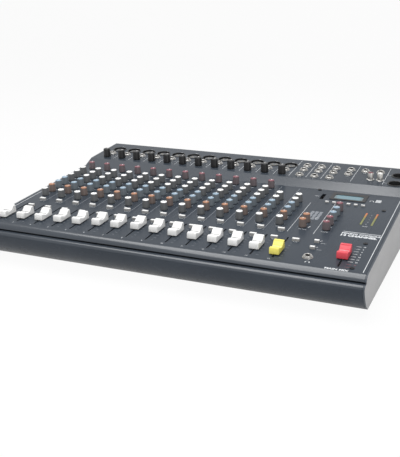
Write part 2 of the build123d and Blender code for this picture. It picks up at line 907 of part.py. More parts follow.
def write_boards():
    save("control_board", [control_board()])
    save("connector_board", [connector_board()])
    save("board_standoffs", board_standoffs())
    save("power_supply", power_supply())


def write_rotary_controls():
    seats = pot_seats()
    save("pot_bodies", pot_bodies(seats))
    save("gain_knob_01", rotary_set([(knob_x, gain_row)], control_plane))
    save("pan_knob_01", rotary_set([(knob_x, row_start + row_pitch)], control_plane))
    jointed = [(knob_x, gain_row), (knob_x, row_start + row_pitch)]
    fixed = [seat for seat in seats["channel"] if seat not in jointed]
    save("channel_knobs", rotary_set(fixed, control_plane))
    trim_size = (trim_knob_radius, trim_knob_top_radius, trim_knob_height)
    save("trim_knob_01", rotary_set(seats["trim"][:1], connector_plane, *trim_size))
    save("trim_knobs", rotary_set(seats["trim"][1:], connector_plane, *trim_size))
    for index, seat in enumerate(seats["master"]):
        save(f"master_knob_{index + 1}", rotary_set([seat], control_plane))
    for index, seat in enumerate(seats["effects"]):
        save(f"effects_knob_{index + 1}", rotary_set([seat], control_plane))


def write_faders():
    save("fader_housings", fader_housings())
    seats = fader_seats()
    for index, seat in enumerate(seats[:-1]):
        save(f"fader_{index + 1:02d}", fader(seat))
    save("main_fader", fader(seats[-1]))


def write_buttons():
    seats = button_seats()
    save("switch_bodies", switch_bodies(seats))
    mute = seats["channel"].pop(channels)
    save("mute_button_01", button_set([mute]))
    save("channel_buttons", button_set(seats["channel"]))
    save("source_button_1", button_set(seats["source"][:1]))
    save("source_button_2", button_set(seats["source"][1:]))
    save("display_button_1", button_set(seats["display"][:1]))
    save("display_buttons", button_set(seats["display"][1:]))


def write_sockets():
    outputs = [(output_x, row) for row in output_rows]
    save("mic_sockets", place_each(mic_socket(), mic_seats()))
    save("output_sockets", place_each(output_socket(), outputs))
    save("jack_sockets", [place(jack_socket(), *seat) for seat in jack_seats()])
    save("jack_nuts", [place(jack_nut(), *seat) for seat in jack_seats()])
    save("phono_sockets", [place(phono_socket(), connector_plane, x, phono_row) for x in phono_x])


def write_display():
    save("display_module", [place(display_module(), control_plane, display_x, display_row)])
    save("display_window", [display_window()])
    save("media_socket", [place(media_socket(), control_plane, media_x, media_row)])
    save("meter_leds", meter_leds())


def write_rear_fittings():
    save("mains_inlet", [*mains_inlet(), power_switch_frame()])
    save("power_rocker", [power_rocker()])


def main():
    os.makedirs("parts", exist_ok=True)
    write_casing()
    write_boards()
    write_rotary_controls()
    write_faders()
    write_buttons()
    write_sockets()
    write_display()
    write_rear_fittings()


main()
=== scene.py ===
"""Desktop mixing console: knobs, fader caps, sockets, printed panels and finishes round a fixed frame.

Every place comes from the frame, in metres: X to the right, Y to the rear, Z up, and rows up a
sloping panel. Each group of pieces has its own operator, and the panel in the sidebar lists them.
"""

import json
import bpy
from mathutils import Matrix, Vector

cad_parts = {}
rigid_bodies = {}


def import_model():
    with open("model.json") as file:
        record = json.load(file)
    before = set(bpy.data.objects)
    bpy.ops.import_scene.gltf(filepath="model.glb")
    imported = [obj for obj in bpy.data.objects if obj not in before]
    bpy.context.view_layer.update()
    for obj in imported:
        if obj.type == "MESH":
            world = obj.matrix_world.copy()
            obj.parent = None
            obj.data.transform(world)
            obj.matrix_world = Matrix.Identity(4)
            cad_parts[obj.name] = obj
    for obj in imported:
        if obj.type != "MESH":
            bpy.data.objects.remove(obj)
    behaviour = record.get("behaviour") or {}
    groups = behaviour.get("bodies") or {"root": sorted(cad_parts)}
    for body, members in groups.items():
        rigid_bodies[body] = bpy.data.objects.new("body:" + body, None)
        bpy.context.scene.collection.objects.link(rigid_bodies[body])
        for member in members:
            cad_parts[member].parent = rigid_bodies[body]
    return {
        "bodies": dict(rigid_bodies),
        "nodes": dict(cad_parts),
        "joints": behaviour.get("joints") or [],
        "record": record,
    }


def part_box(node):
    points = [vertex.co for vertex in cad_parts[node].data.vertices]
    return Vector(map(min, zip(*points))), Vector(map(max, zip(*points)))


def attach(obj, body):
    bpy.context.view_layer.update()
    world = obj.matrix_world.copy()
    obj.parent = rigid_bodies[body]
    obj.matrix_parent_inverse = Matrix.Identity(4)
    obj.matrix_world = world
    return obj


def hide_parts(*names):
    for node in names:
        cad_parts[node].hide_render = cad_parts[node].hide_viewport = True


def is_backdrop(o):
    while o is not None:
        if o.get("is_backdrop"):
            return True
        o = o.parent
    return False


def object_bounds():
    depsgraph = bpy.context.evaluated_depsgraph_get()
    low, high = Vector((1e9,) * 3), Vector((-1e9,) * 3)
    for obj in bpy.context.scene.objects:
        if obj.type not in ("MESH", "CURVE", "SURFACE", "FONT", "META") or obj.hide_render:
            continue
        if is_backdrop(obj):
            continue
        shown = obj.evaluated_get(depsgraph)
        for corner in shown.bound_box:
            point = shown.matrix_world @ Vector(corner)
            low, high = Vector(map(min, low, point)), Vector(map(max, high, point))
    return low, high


bl_info = {
    "name": "Mixing Console",
    "version": (1, 0, 0),
    "blender": (4, 5, 0),
    "location": "View3D > Sidebar > Console",
    "description": "Builds the visible pieces and finishes of a desktop mixing console",
    "category": "Object",
}

from math import asin, cos, pi, radians, sin, tau

import bmesh
import bpy
from mathutils import Matrix, Vector

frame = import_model()

MM = 0.001
ROOT = "root"


# Where things are -------------------------------------------------------------------------

def joint(name):
    """The record's joint of that name."""
    return next(row for row in frame["joints"] if row["name"] == name)


def solids(node):
    """Middle and extent of each separate solid of a CAD node."""
    shell = bmesh.new()
    shell.from_mesh(frame["nodes"][node].data)
    bmesh.ops.remove_doubles(shell, verts=shell.verts, dist=1e-6)
    seen = set()
    found = []
    for first in shell.verts:
        if first in seen:
            continue
        seen.add(first)
        island, waiting = [], [first]
        while waiting:
            vertex = waiting.pop()
            island.append(vertex.co)
            for edge in vertex.link_edges:
                other = edge.other_vert(vertex)
                if other not in seen:
                    seen.add(other)
                    waiting.append(other)
        low = Vector(min(point[axis] for point in island) for axis in range(3))
        high = Vector(max(point[axis] for point in island) for axis in range(3))
        found.append(((low + high) / 2, high - low))
    shell.free()
    return found


class Panel:
    """A sloping panel of the top cover, with places given by X, row up the slope and height."""

    def __init__(self, normal, up, region, origin):
        self.normal = Vector(normal)
        self.up = Vector(up)
        self.slope = asin(Vector((0, 0, 1)).cross(self.normal).x)
        cover = frame["nodes"]["top_cover"].data.vertices
        low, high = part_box("top_cover")
        inside = [v.co for v in cover if region[0] <= (v.co.y - low.y) / (high.y - low.y) <= region[1]]
        self.face = max(point.dot(self.normal) for point in inside)
        self.origin = self.foot(Vector((0, origin.y, origin.z)))

    def foot(self, point):
        """The point of the panel's face under or over a point."""
        return point + self.normal * (self.face - point.dot(self.normal))

    def row(self, point):
        """How far up the slope a point lies."""
        return (point - self.origin).dot(self.up)

    def at(self, x, row, height=0.0):
        """Point of the panel at an X and a row, lifted by a height."""
        return self.origin + Vector((x, 0, 0)) + self.up * row + self.normal * height

    def matrix(self, x, row, height=0.0):
        """Placing matrix for a flat shape drawn in X and Y."""
        across = Vector((1, 0, 0))
        turn = Matrix((across, self.up, self.normal)).transposed().to_4x4()
        return Matrix.Translation(self.at(x, row, height)) @ turn


def seats(node, panel, least, most=1.0):
    """Feet on the panel of the node's solids between those widths, in order of X and row."""
    feet = [panel.foot(middle) for middle, extent in solids(node) if least <= extent.x <= most]
    return sorted(feet, key=lambda foot: (round(foot.x, 4), foot.y))


def control_panel():
    """The panel of knobs and faders, its rows counted from the low end of the main fader's travel."""
    slide = joint("main_fader_slide")
    up = Vector(slide["axis"])
    normal = Vector(joint("gain_knob_01_turn")["axis"])
    lever = min(solids("main_fader"), key=lambda solid: solid[1].x)[0]
    return Panel(normal, up, (0.1, 0.6), lever + up * slide["range_m"][0])


def socket_panel():
    """The raised panel of sockets, its rows counted from the trim knobs."""
    turn = joint("trim_knob_01_turn")
    normal = Vector(turn["axis"])
    return Panel(normal, normal.cross(Vector((1, 0, 0))), (0.8, 1.0), Vector(turn["pos_m"]))


controls = control_panel()
sockets = socket_panel()
FADERS = [name for name in frame["bodies"] if "fader" in name]
MASTER_KNOBS = sorted(name for name in frame["bodies"] if name.startswith("master_knob"))
EFFECTS_KNOBS = sorted(name for name in frame["bodies"] if name.startswith("effects_knob"))
knob_low, knob_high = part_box("gain_knob_01")
trim_low, trim_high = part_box("trim_knob_01")


# Sizes and colours that a user would change ----------------------------------------------

def length(name, description, millimetres):
    """A length property, given in millimetres and kept in metres."""
    return bpy.props.FloatProperty(
        name=name, description=description, default=millimetres * MM, unit="LENGTH", precision=5
    )


def colour(name, description, red, green, blue):
    """A colour property in linear light."""
    return bpy.props.FloatVectorProperty(
        name=name, description=description, default=(red, green, blue), subtype="COLOR", min=0, max=1
    )


class ConsoleSizes(bpy.types.PropertyGroup):
    """Sizes of the pieces that stand on the panels."""

    knob_radius: bpy.props.FloatProperty(
        name="Knob radius", description="Radius of a knob at its foot",
        default=(knob_high.x - knob_low.x) / 2, unit="LENGTH", precision=5,
    )
    trim_radius: bpy.props.FloatProperty(
        name="Trim knob radius", description="Radius of a trim knob at its foot",
        default=(trim_high.x - trim_low.x) / 2, unit="LENGTH", precision=5,
    )
    knob_taper: length("Knob taper", "How much smaller a knob's top radius is", 0.4)
    knob_height: length("Knob height", "Height of a channel knob over the panel", 11.5)
    trim_height: length("Trim knob height", "Height of a trim knob over the panel", 13.4)
    knob_gap: length("Knob gap", "Gap between a knob and its panel", 0.5)
    flutes: bpy.props.IntProperty(name="Flutes", description="Flutes round a knob", default=13, min=6)
    flute_depth: length("Flute depth", "Depth of a knob's flutes", 0.35)
    cap_width: length("Cap width", "Width of a fader cap", 12.0)
    cap_length: length("Cap length", "Length of a fader cap", 24.0)
    cap_height: length("Cap height", "Height of a fader cap's rear end", 9.8)
    cap_front: length("Cap front", "Height of a fader cap's front end", 7.2)
    cap_middle: length("Cap middle", "Height of the finger dip in a fader cap", 5.2)
    cap_gap: length("Cap gap", "Gap between a fader cap and the panel", 1.5)
    ink: length("Ink height", "How far the printed marks stand off the paint", 0.04)
    line: length("Line width", "Width of a printed dividing line", 0.45)


class ConsoleColours(bpy.types.PropertyGroup):
    """Colours of the paint, the mouldings and the print."""

    casing: colour("Casing", "Paint of the cover and the front rail", 0.042, 0.051, 0.064)
    cheeks: colour("Cheeks", "Paint of the end plates and the base", 0.32, 0.32, 0.325)
    grip: colour("Grip", "Moulded grip of a channel knob", 0.13, 0.135, 0.14)
    black: colour("Black", "Black mouldings", 0.012, 0.012, 0.013)
    white: colour("White", "White caps and buttons", 0.88, 0.88, 0.87)
    yellow: colour("Yellow", "Yellow fader cap", 0.86, 0.76, 0.15)
    red: colour("Red", "Red fader cap", 0.7, 0.06, 0.085)
    orange: colour("Orange", "Orange knob tops", 0.37, 0.17, 0.09)
    blue: colour("Blue", "Pale blue knob tops", 0.26, 0.36, 0.45)
    rose: colour("Rose", "Red knob tops", 0.2, 0.06, 0.08)
    print: colour("Print", "White ink on the panels", 0.72, 0.74, 0.76)
    faint_print: colour("Faint print", "Grey ink on the panels", 0.3, 0.32, 0.35)
    lit: colour("Display", "Lit display window", 0.04, 0.14, 0.18)


class StudioSettings(bpy.types.PropertyGroup):
    """Camera, lamps and floor."""

    lens: bpy.props.FloatProperty(
        name="Lens", description="Focal length in millimetres", default=59.45, min=10, max=200
    )
    heading: bpy.props.FloatProperty(
        name="Heading", description="How far the camera looks round to the left",
        default=radians(23.22), subtype="ANGLE",
    )
    pitch: bpy.props.FloatProperty(
        name="Pitch", description="How far the camera looks down", default=radians(17.87), subtype="ANGLE"
    )
    overhead: bpy.props.FloatProperty(
        name="Overhead", description="Power of the overhead soft box in watts", default=26.0, min=0
    )
    side: bpy.props.FloatProperty(
        name="Side", description="Power of the side soft box in watts", default=9.0, min=0
    )
    sky: bpy.props.FloatProperty(name="Sky", description="Strength of the plain room light", default=0.42)


def sizes():
    return bpy.context.scene.console_sizes


def colours():
    return bpy.context.scene.console_colours


# Shader maths -----------------------------------------------------------------------------

class Field:
    """A value or colour in a finish. Operators on values add Math nodes."""

    def __init__(self, finish, socket):
        self.finish = finish
        self.socket = socket

    def maths(self, operation, *others):
        return self.finish.node("ShaderNodeMath", {"operation": operation}, [self, *others])

    def __add__(self, other):
        return self.maths("ADD", other)

    def __radd__(self, other):
        return self.maths("ADD", other)

    def __sub__(self, other):
        return self.maths("SUBTRACT", other)

    def __rsub__(self, other):
        return self.finish.node("ShaderNodeMath", {"operation": "SUBTRACT"}, [other, self])

    def __mul__(self, other):
        return self.maths("MULTIPLY", other)

    def __rmul__(self, other):
        return self.maths("MULTIPLY", other)

    def __truediv__(self, other):
        return self.maths("DIVIDE", other)

    def __gt__(self, other):
        return self.maths("GREATER_THAN", other)

    def __lt__(self, other):
        return self.maths("LESS_THAN", other)

    def size(self):
        return self.maths("ABSOLUTE")


class Finish:
    """A node-built material: one Principled shader whose sockets take numbers or fields."""

    def __init__(self, name):
        self.material = bpy.data.materials.new(name)
        self.material.use_nodes = True
        self.tree = self.material.node_tree
        self.tree.nodes.clear()
        self.shader = self.tree.nodes.new("ShaderNodeBsdfPrincipled")
        output = self.tree.nodes.new("ShaderNodeOutputMaterial")
        self.tree.links.new(self.shader.outputs["BSDF"], output.inputs["Surface"])
        place = self.tree.nodes.new("ShaderNodeTexCoord")
        self.place = Field(self, place.outputs["Object"])

    def feed(self, socket, value):
        if isinstance(value, Field):
            self.tree.links.new(value.socket, socket)
        elif isinstance(value, Vector) or (hasattr(value, "__len__") and len(value) == 3):
            socket.default_value = (*value, 1.0) if socket.type == "RGBA" else tuple(value)
        else:
            socket.default_value = value

    def node(self, kind, settings=None, inputs=(), output=0):
        """Adds a node. Settings come first, then the values or links of its inputs."""
        made = self.tree.nodes.new(kind)
        for name, value in (settings or {}).items():
            setattr(made, name, value)
        pairs = inputs.items() if isinstance(inputs, dict) else enumerate(inputs)
        for key, value in pairs:
            self.feed(made.inputs[key], value)
        return Field(self, made.outputs[output])

    def noise(self, scale, detail=2.0, stretch=None):
        """Noise from 0 to 1 over the piece, in features a metre."""
        place = self.place
        if stretch:
            place = self.node("ShaderNodeMapping", None, {"Vector": place, "Scale": stretch})
        inputs = {"Vector": place, "Scale": scale, "Detail": detail}
        return self.node("ShaderNodeTexNoise", None, inputs, "Fac")

    def axis(self, name):
        """One coordinate of the surface."""
        return self.node("ShaderNodeSeparateXYZ", None, [self.place], name)

    def facing(self, name):
        """One coordinate of the surface's normal."""
        normal = self.node("ShaderNodeTexCoord", None, (), "Normal")
        return self.node("ShaderNodeSeparateXYZ", None, [normal], name)

    def distance(self, point):
        """Distance of the surface from a point."""
        return self.node("ShaderNodeVectorMath", {"operation": "DISTANCE"}, [self.place, point], "Value")

    def height(self, panel):
        """Height of the surface over a sloping panel."""
        dot = self.node("ShaderNodeVectorMath", {"operation": "DOT_PRODUCT"},
                        [self.place, panel.normal], "Value")
        return dot - panel.face

    def blend(self, mask, first, second):
        """Colour from the first to the second as the mask goes from 0 to 1."""
        return self.node("ShaderNodeMix", {"data_type": "RGBA"},
                         {"Factor": mask, 6: first, 7: second}, 2)

    def smooth(self, value, low, high):
        """0 below the low edge, 1 above the high one, and smooth between."""
        return self.node("ShaderNodeMapRange", {"interpolation_type": "SMOOTHSTEP"},
                         {"Value": value, "From Min": low, "From Max": high})

    def bump(self, height, depth, strength=1.0):
        """Normal of a surface that a height field of 0 to 1 raises by a depth."""
        inputs = {"Height": height, "Distance": depth, "Strength": strength}
        return self.node("ShaderNodeBump", None, inputs, "Normal")

    def set(self, **values):
        """Sets the shader's sockets, named in lower case with underscores."""
        for name, value in values.items():
            key = " ".join(word.capitalize() for word in name.split("_"))
            key = {"Ior": "IOR", "Specular Ior Level": "Specular IOR Level"}.get(key, key)
            self.feed(self.shader.inputs[key], value)
        return self.material


def toned(rgb, factor):
    """A lighter or darker copy of a colour."""
    return tuple(min(1.0, channel * factor) for channel in rgb)


def tinted_grip(name, tint):
    """Moulded grip whose grey leans a little towards the colour of its top."""
    lean = 0.22
    grey = colours().grip
    return moulded(name, tuple((1 - lean) * a + lean * b for a, b in zip(grey, tint)), 0.42)


# Finishes ---------------------------------------------------------------------------------

def painted_metal(name, rgb, roughness, gloss, edge=None, lacquer=0.0):
    """Baked paint: a fine pebbled skin, slow tone drift, and faint rubbed streaks.

    An edge colour shows on faces that don't look sideways, and lacquer on those that look forward and up.
    """
    skin = Finish(name)
    pebble = skin.noise(1500.0, 3.0)
    drift = skin.noise(9.0, 2.0)
    rubbed = skin.noise(60.0, 4.0, (1.0, 0.12, 1.0))
    base = skin.blend(skin.smooth(drift, 0.3, 0.7), toned(rgb, 0.94), toned(rgb, 1.07))
    base = skin.blend(skin.smooth(pebble, 0.62, 0.8) * 0.35, base, toned(rgb, 1.5))
    if edge:
        base = skin.blend(skin.facing("X").size() > 0.7, edge, base)
    worn = skin.smooth(rubbed, 0.45, 0.75) * 0.07
    forward = skin.smooth(skin.facing("Y") * -1.0, 0.12, 0.4) * skin.smooth(skin.facing("Z"), 0.05, 0.4)
    return skin.set(
        base_color=base, roughness=roughness + worn + (pebble - 0.5) * 0.12,
        specular_ior_level=gloss, coat_weight=forward * lacquer, coat_roughness=0.16,
        normal=skin.bump(pebble, 0.00006),
    )


def moulded(name, rgb, roughness, grain=2200.0, depth=0.00002):
    """Moulded plastic: a fine spark-eroded grain with slightly polished high spots."""
    skin = Finish(name)
    spark = skin.noise(grain, 2.0)
    handled = skin.noise(140.0, 3.0)
    base = skin.blend(skin.smooth(handled, 0.3, 0.75), toned(rgb, 0.95), toned(rgb, 1.04))
    return skin.set(
        base_color=base, roughness=roughness + (handled - 0.5) * 0.16, specular_ior_level=0.45,
        normal=skin.bump(spark, depth),
    )


def handled_cap(name, rgb):
    """Satin fader plastic of patchy dullness, with painted shade: the dip and the lower sides are a
    little darker, in patches.
    """
    skin = Finish(name)
    lift = skin.height(controls)
    # painted shade: parts lower than the cap's ridges, the dip and the sides, are mixed a little darker
    # in patches, standing in for the shade there
    grip = 1.0 - skin.smooth(lift, sizes().cap_gap + 5 * MM, sizes().cap_gap + 8 * MM)
    spark = skin.noise(1800.0, 2.0)
    film = skin.noise(220.0, 3.0)
    base = skin.blend(grip * skin.smooth(film, 0.35, 0.7) * 0.35, rgb, toned(rgb, 0.86))
    return skin.set(
        base_color=base, roughness=0.34 + film * 0.14, specular_ior_level=0.45,
        coat_weight=0.08, normal=skin.bump(spark, 0.000015),
    )


def metal(name, rgb, roughness, brushed=(1.0, 1.0, 1.0), depth=0.00001):
    """Bare or plated metal with fine turning or brushing marks and a breath of tarnish."""
    skin = Finish(name)
    marks = skin.noise(900.0, 3.0, brushed)
    tarnish = skin.noise(120.0, 3.0)
    base = skin.blend(skin.smooth(tarnish, 0.4, 0.8) * 0.5, rgb, toned(rgb, 0.8))
    return skin.set(
        base_color=base, metallic=1.0, roughness=roughness + marks * 0.12 + tarnish * 0.05,
        normal=skin.bump(marks, depth),
    )


def rubber():
    """Matt foot rubber with mould speckle and dust on the high spots."""
    skin = Finish("foot_rubber")
    speckle = skin.noise(1100.0, 4.0)
    dust = skin.noise(90.0, 3.0)
    base = skin.blend(skin.smooth(dust, 0.5, 0.8) * 0.4, (0.018, 0.018, 0.018), (0.05, 0.05, 0.048))
    return skin.set(base_color=base, roughness=0.82 - dust * 0.1, normal=skin.bump(speckle, 0.00008))


def circuit_board():
    """Green solder mask over copper tracks."""
    skin = Finish("circuit_board")
    cell = {"Vector": skin.place, "Scale": 260.0, "Mortar Size": 0.012, "Color1": (1, 1, 1),
            "Color2": (0.6, 0.6, 0.6), "Mortar": (0, 0, 0)}
    tracks = skin.node("ShaderNodeTexBrick", {"offset": 0.37}, cell, "Fac")
    base = skin.blend(tracks, (0.012, 0.09, 0.035), (0.03, 0.17, 0.06))
    return skin.set(base_color=base, roughness=0.35 + skin.noise(300.0) * 0.15,
                    normal=skin.bump(tracks, 0.00003))


def printing(name, rgb):
    """Screen-printed ink, slightly broken where the mesh let less through."""
    skin = Finish(name)
    weave = skin.noise(2600.0, 2.0)
    base = skin.blend(skin.smooth(weave, 0.45, 0.8) * 0.5, rgb, toned(rgb, 0.7))
    return skin.set(base_color=base, roughness=0.5 + weave * 0.15, specular_ior_level=0.3)


def button_plastic():
    """Button plastic: a pale crown over sides darkened by painted shade."""
    skin = Finish("white_button")
    crown = skin.smooth(skin.facing("Z"), 0.5, 0.9)
    spark = skin.noise(1800.0, 2.0)
    # painted shade: faces turned away from up take a much darker white than the crown, standing in for
    # the shade on the button's sides
    base = skin.blend(crown, toned(colours().white, 0.42), toned(colours().white, 0.92))
    return skin.set(base_color=base, roughness=0.34 + spark * 0.1, normal=skin.bump(spark, 0.000015))


def mic_socket():
    """Black socket shell round a dark grey insert."""
    skin = Finish("mic_socket")
    grain = skin.noise(1500.0, 2.0)
    insert = None
    for foot in seats("mic_sockets", sockets, 20 * MM):
        near = skin.distance(foot - sockets.normal * 1.2 * MM) < 7.3 * MM
        insert = near if insert is None else insert.maths("MAXIMUM", near)
    base = skin.blend(insert, (0.012, 0.012, 0.013), (0.1, 0.105, 0.11))
    return skin.set(base_color=base, roughness=0.4 + grain * 0.12, normal=skin.bump(grain, 0.00001))


def jack_body():
    """Black jack body whose threaded neck is plated."""
    skin = Finish("jack_body")
    neck = skin.smooth(skin.height(sockets), -1.2 * MM, -0.9 * MM)
    neck = neck.maths("MAXIMUM", skin.smooth(skin.height(controls), -1.2 * MM, -0.9 * MM)
                      * (skin.axis("Y") < -0.05))
    grain = skin.noise(700.0, 3.0)
    return skin.set(
        base_color=skin.blend(neck, (0.014, 0.014, 0.015), (0.62, 0.61, 0.58)),
        metallic=neck, roughness=0.42 - neck * 0.2 + grain * 0.1, normal=skin.bump(grain, 0.00001),
    )


def output_socket():
    """Black socket shell with three plated pins standing on its floor."""
    skin = Finish("output_socket")
    grain = skin.noise(1500.0, 2.0)
    pins = None
    for foot in seats("output_sockets", sockets, 15 * MM):
        across = skin.axis("X") - foot.x
        along = skin.node("ShaderNodeVectorMath", {"operation": "DOT_PRODUCT"},
                          [skin.place, sockets.up], "Value") - foot.dot(sockets.up)
        near = (across * across + along * along) < (5.8 * MM) ** 2
        pins = near if pins is None else pins.maths("MAXIMUM", near)
    pins = pins * (skin.height(sockets) > -17.9 * MM)
    return skin.set(
        base_color=skin.blend(pins, (0.013, 0.013, 0.014), (0.72, 0.7, 0.64)),
        metallic=pins, roughness=0.48 - pins * 0.26 + grain * 0.08, normal=skin.bump(grain, 0.00001),
    )


def mains_inlet():
    """Black inlet and switch frame, with plated blades in the inlet's recess."""
    skin = Finish("mains_inlet")
    grain = skin.noise(1600.0, 2.0)
    blade = None
    for middle, extent in solids("mains_inlet"):
        if extent.x < 3 * MM:
            inside = (skin.axis("X") - middle.x).size() < extent.x / 2 + 0.05 * MM
            inside = inside * ((skin.axis("Z") - middle.z).size() < extent.z / 2 + 0.05 * MM)
            inside = inside * ((skin.axis("Y") - middle.y).size() < extent.y / 2)
            blade = inside if blade is None else blade.maths("MAXIMUM", inside)
    return skin.set(
        base_color=skin.blend(blade, (0.013, 0.013, 0.014), (0.66, 0.65, 0.62)),
        metallic=blade, roughness=0.5 - blade * 0.25 + grain * 0.1, normal=skin.bump(grain, 0.00002),
    )


def display_glass():
    """Lit window: a teal glow with faint dot cells and a darker rim."""
    skin = Finish("display_glass")
    middle, extent = solids("display_window")[0]
    cell = {"Vector": skin.place, "Scale": 900.0, "Mortar Size": 0.06, "Color1": (1, 1, 1),
            "Color2": (0.9, 0.9, 0.9), "Mortar": (0.4, 0.4, 0.4)}
    dots = skin.node("ShaderNodeTexBrick", {"offset": 0.0}, cell, "Color")
    rim = skin.smooth((skin.axis("X") - middle.x).size(), extent.x * 0.36, extent.x * 0.5)
    glow = skin.blend(rim, colours().lit, toned(colours().lit, 0.35))
    tint = skin.node("ShaderNodeMix", {"data_type": "RGBA", "blend_type": "MULTIPLY"},
                     {"Factor": 0.35, 6: glow, 7: dots}, 2)
    return skin.set(base_color=tint, emission_color=tint, emission_strength=0.35, roughness=0.12,
                    coat_weight=0.5)


def lamp_lens():
    """Lamp lenses, green low on the ladder, then amber, and red at its top."""
    skin = Finish("lamp_lens")
    boxes = solids("meter_leds")
    low = min(middle.y for middle, _ in boxes)
    high = max(middle.y for middle, _ in boxes)
    along = (skin.axis("Y") - low) / (high - low)
    amber, red = 0.62, 0.88
    tone = skin.blend(along > amber, (0.2, 0.21, 0.06), (0.42, 0.2, 0.05))
    tone = skin.blend(along > red, tone, (0.5, 0.13, 0.04))
    frost = skin.noise(1600.0, 2.0)
    return skin.set(base_color=tone, emission_color=tone, emission_strength=0.12,
                    roughness=0.22 + frost * 0.12, normal=skin.bump(frost, 0.00001))


class Finishes:
    """Every finish, made once when it is first asked for."""

    makers = {
        "casing_paint": lambda: painted_metal("casing_paint", colours().casing, 0.24, 0.07, lacquer=1.0),
        "cheek_paint": lambda: painted_metal(
            "cheek_paint", colours().cheeks, 0.42, 0.35, toned(colours().casing, 1.2)),
        "base_paint": lambda: painted_metal("base_paint", colours().cheeks, 0.42, 0.35),
        "foot_rubber": rubber,
        "black_steel": lambda: metal("black_steel", (0.03, 0.03, 0.034), 0.32),
        "circuit_board": circuit_board,
        "plain_steel": lambda: metal("plain_steel", (0.5, 0.5, 0.5), 0.3, (1.0, 0.1, 1.0)),
        "black_plastic": lambda: moulded("black_plastic", colours().black, 0.45),
        "chrome_ring": lambda: metal("chrome_ring", (0.56, 0.55, 0.53), 0.2),
        "display_glass": display_glass,
        "lamp_lens": lamp_lens,
        "white_cap": lambda: handled_cap("white_cap", colours().white),
        "yellow_cap": lambda: handled_cap("yellow_cap", colours().yellow),
        "red_cap": lambda: handled_cap("red_cap", colours().red),
        "grey_knob": lambda: moulded("grey_knob", colours().grip, 0.42, 1600.0, 0.00003),
        "trim_knob": lambda: moulded("trim_knob", colours().black, 0.38, 1600.0, 0.00003),
        "white_button": button_plastic,
        "white_grip": lambda: moulded("white_grip", colours().grip, 0.42, 1600.0, 0.00003),
        "orange_grip": lambda: tinted_grip("orange_grip", colours().orange),
        "blue_grip": lambda: tinted_grip("blue_grip", colours().blue),
        "red_grip": lambda: tinted_grip("red_grip", colours().rose),
        "white_top": lambda: moulded("white_top", toned(colours().white, 1.05), 0.34),
        "orange_top": lambda: moulded("orange_top", colours().orange, 0.36),
        "blue_top": lambda: moulded("blue_top", colours().blue, 0.36),
        "red_top": lambda: moulded("red_top", colours().rose, 0.36),
        "white_ink": lambda: printing("white_ink", colours().print),
        "grey_ink": lambda: printing("grey_ink", colours().faint_print),
        "red_ink": lambda: printing("red_ink", toned(colours().rose, 0.8)),
        "dark_ink": lambda: printing("dark_ink", (0.03, 0.032, 0.036)),
        "contact": lambda: metal("contact", (0.85, 0.8, 0.7), 0.25),
        "jack_body": jack_body,
        "mic_socket": mic_socket,
        "output_socket": output_socket,
        "mains_inlet": mains_inlet,
    }
    made = {}

    @classmethod
    def get(cls, name):
        if name not in cls.made:
            cls.made[name] = cls.makers[name]()
        return cls.made[name]


# Meshes -----------------------------------------------------------------------------------

def mesh_from(name, points, faces):
    """A mesh with outward faces from points and faces."""
    mesh = bpy.data.meshes.new(name)
    mesh.from_pydata([tuple(point) for point in points], [], faces)
    shape = bmesh.new()
    shape.from_mesh(mesh)
    bmesh.ops.recalc_face_normals(shape, faces=shape.faces)
    shape.to_mesh(mesh)
    shape.free()
    return mesh


def rings(name, loops, smooth=True):
    """Closed shape through loops of points, its first and last loops closed by faces."""
    count = len(loops[0])
    points = [point for loop in loops for point in loop]
    faces = []
    for level in range(len(loops) - 1):
        base = level * count
        for index in range(count):
            after = (index + 1) % count
            faces.append((base + index, base + after, base + count + after, base + count + index))
    faces.append(tuple(reversed(range(count))))
    faces.append(tuple(range(len(points) - count, len(points))))
    mesh = mesh_from(name, points, faces)
    if smooth:
        sides = len(faces) - 2
        for face in mesh.polygons:
            face.use_smooth = face.index < sides
        mesh.set_sharp_from_angle(angle=radians(38))
    return mesh


def turned(name, profile, segments=24, closed=False):
    """Lathed shape from radii and heights. A closed profile makes a ring with a bore."""
    loops = []
    for radius, height in profile:
        angles = [tau * index / segments for index in range(segments)]
        loops.append([Vector((radius * cos(a), radius * sin(a), height)) for a in angles])
    if not closed:
        return rings(name, loops)
    points = [point for loop in loops for point in loop]
    faces = []
    for level in range(len(loops)):
        base = level * segments
        above = (level + 1) % len(loops) * segments
        for index in range(segments):
            after = (index + 1) % segments
            faces.append((base + index, base + after, above + after, above + index))
    mesh = mesh_from(name, points, faces)
    mesh.shade_smooth()
    mesh.set_sharp_from_angle(angle=radians(38))
    return mesh


def slab(name, corners, thickness):
    """Flat plate from an outline of X and Y, standing on Z 0."""
    low = [Vector((x, y, 0)) for x, y in corners]
    high = [Vector((x, y, thickness)) for x, y in corners]
    return rings(name, [low, high], smooth=False)


def rectangle(width, depth, middle=(0.0, 0.0)):
    """Corners of a rectangle."""
    x, y = middle
    return [(x + a * width / 2, y + b * depth / 2) for a, b in ((-1, -1), (1, -1), (1, 1), (-1, 1))]


def joined(name, parts):
    """One mesh from meshes and the matrices that place them."""
    whole = bmesh.new()
    for mesh, matrix in parts:
        part = mesh.copy()
        part.transform(matrix)
        whole.from_mesh(part)
        bpy.data.meshes.remove(part)
    mesh = bpy.data.meshes.new(name)
    whole.to_mesh(mesh)
    whole.free()
    return mesh


def piece(name, mesh, finish, body=ROOT, replaces=()):
    """Shows a mesh as a piece of the object that rides on a body."""
    made = bpy.data.objects.new(name, mesh)
    bpy.context.scene.collection.objects.link(made)
    mesh.materials.clear()
    mesh.materials.append(Finishes.get(finish))
    for face in mesh.polygons:
        face.material_index = 0
    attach(made, body)
    if replaces:
        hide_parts(*replaces)
    return made


# Geometry Nodes ---------------------------------------------------------------------------

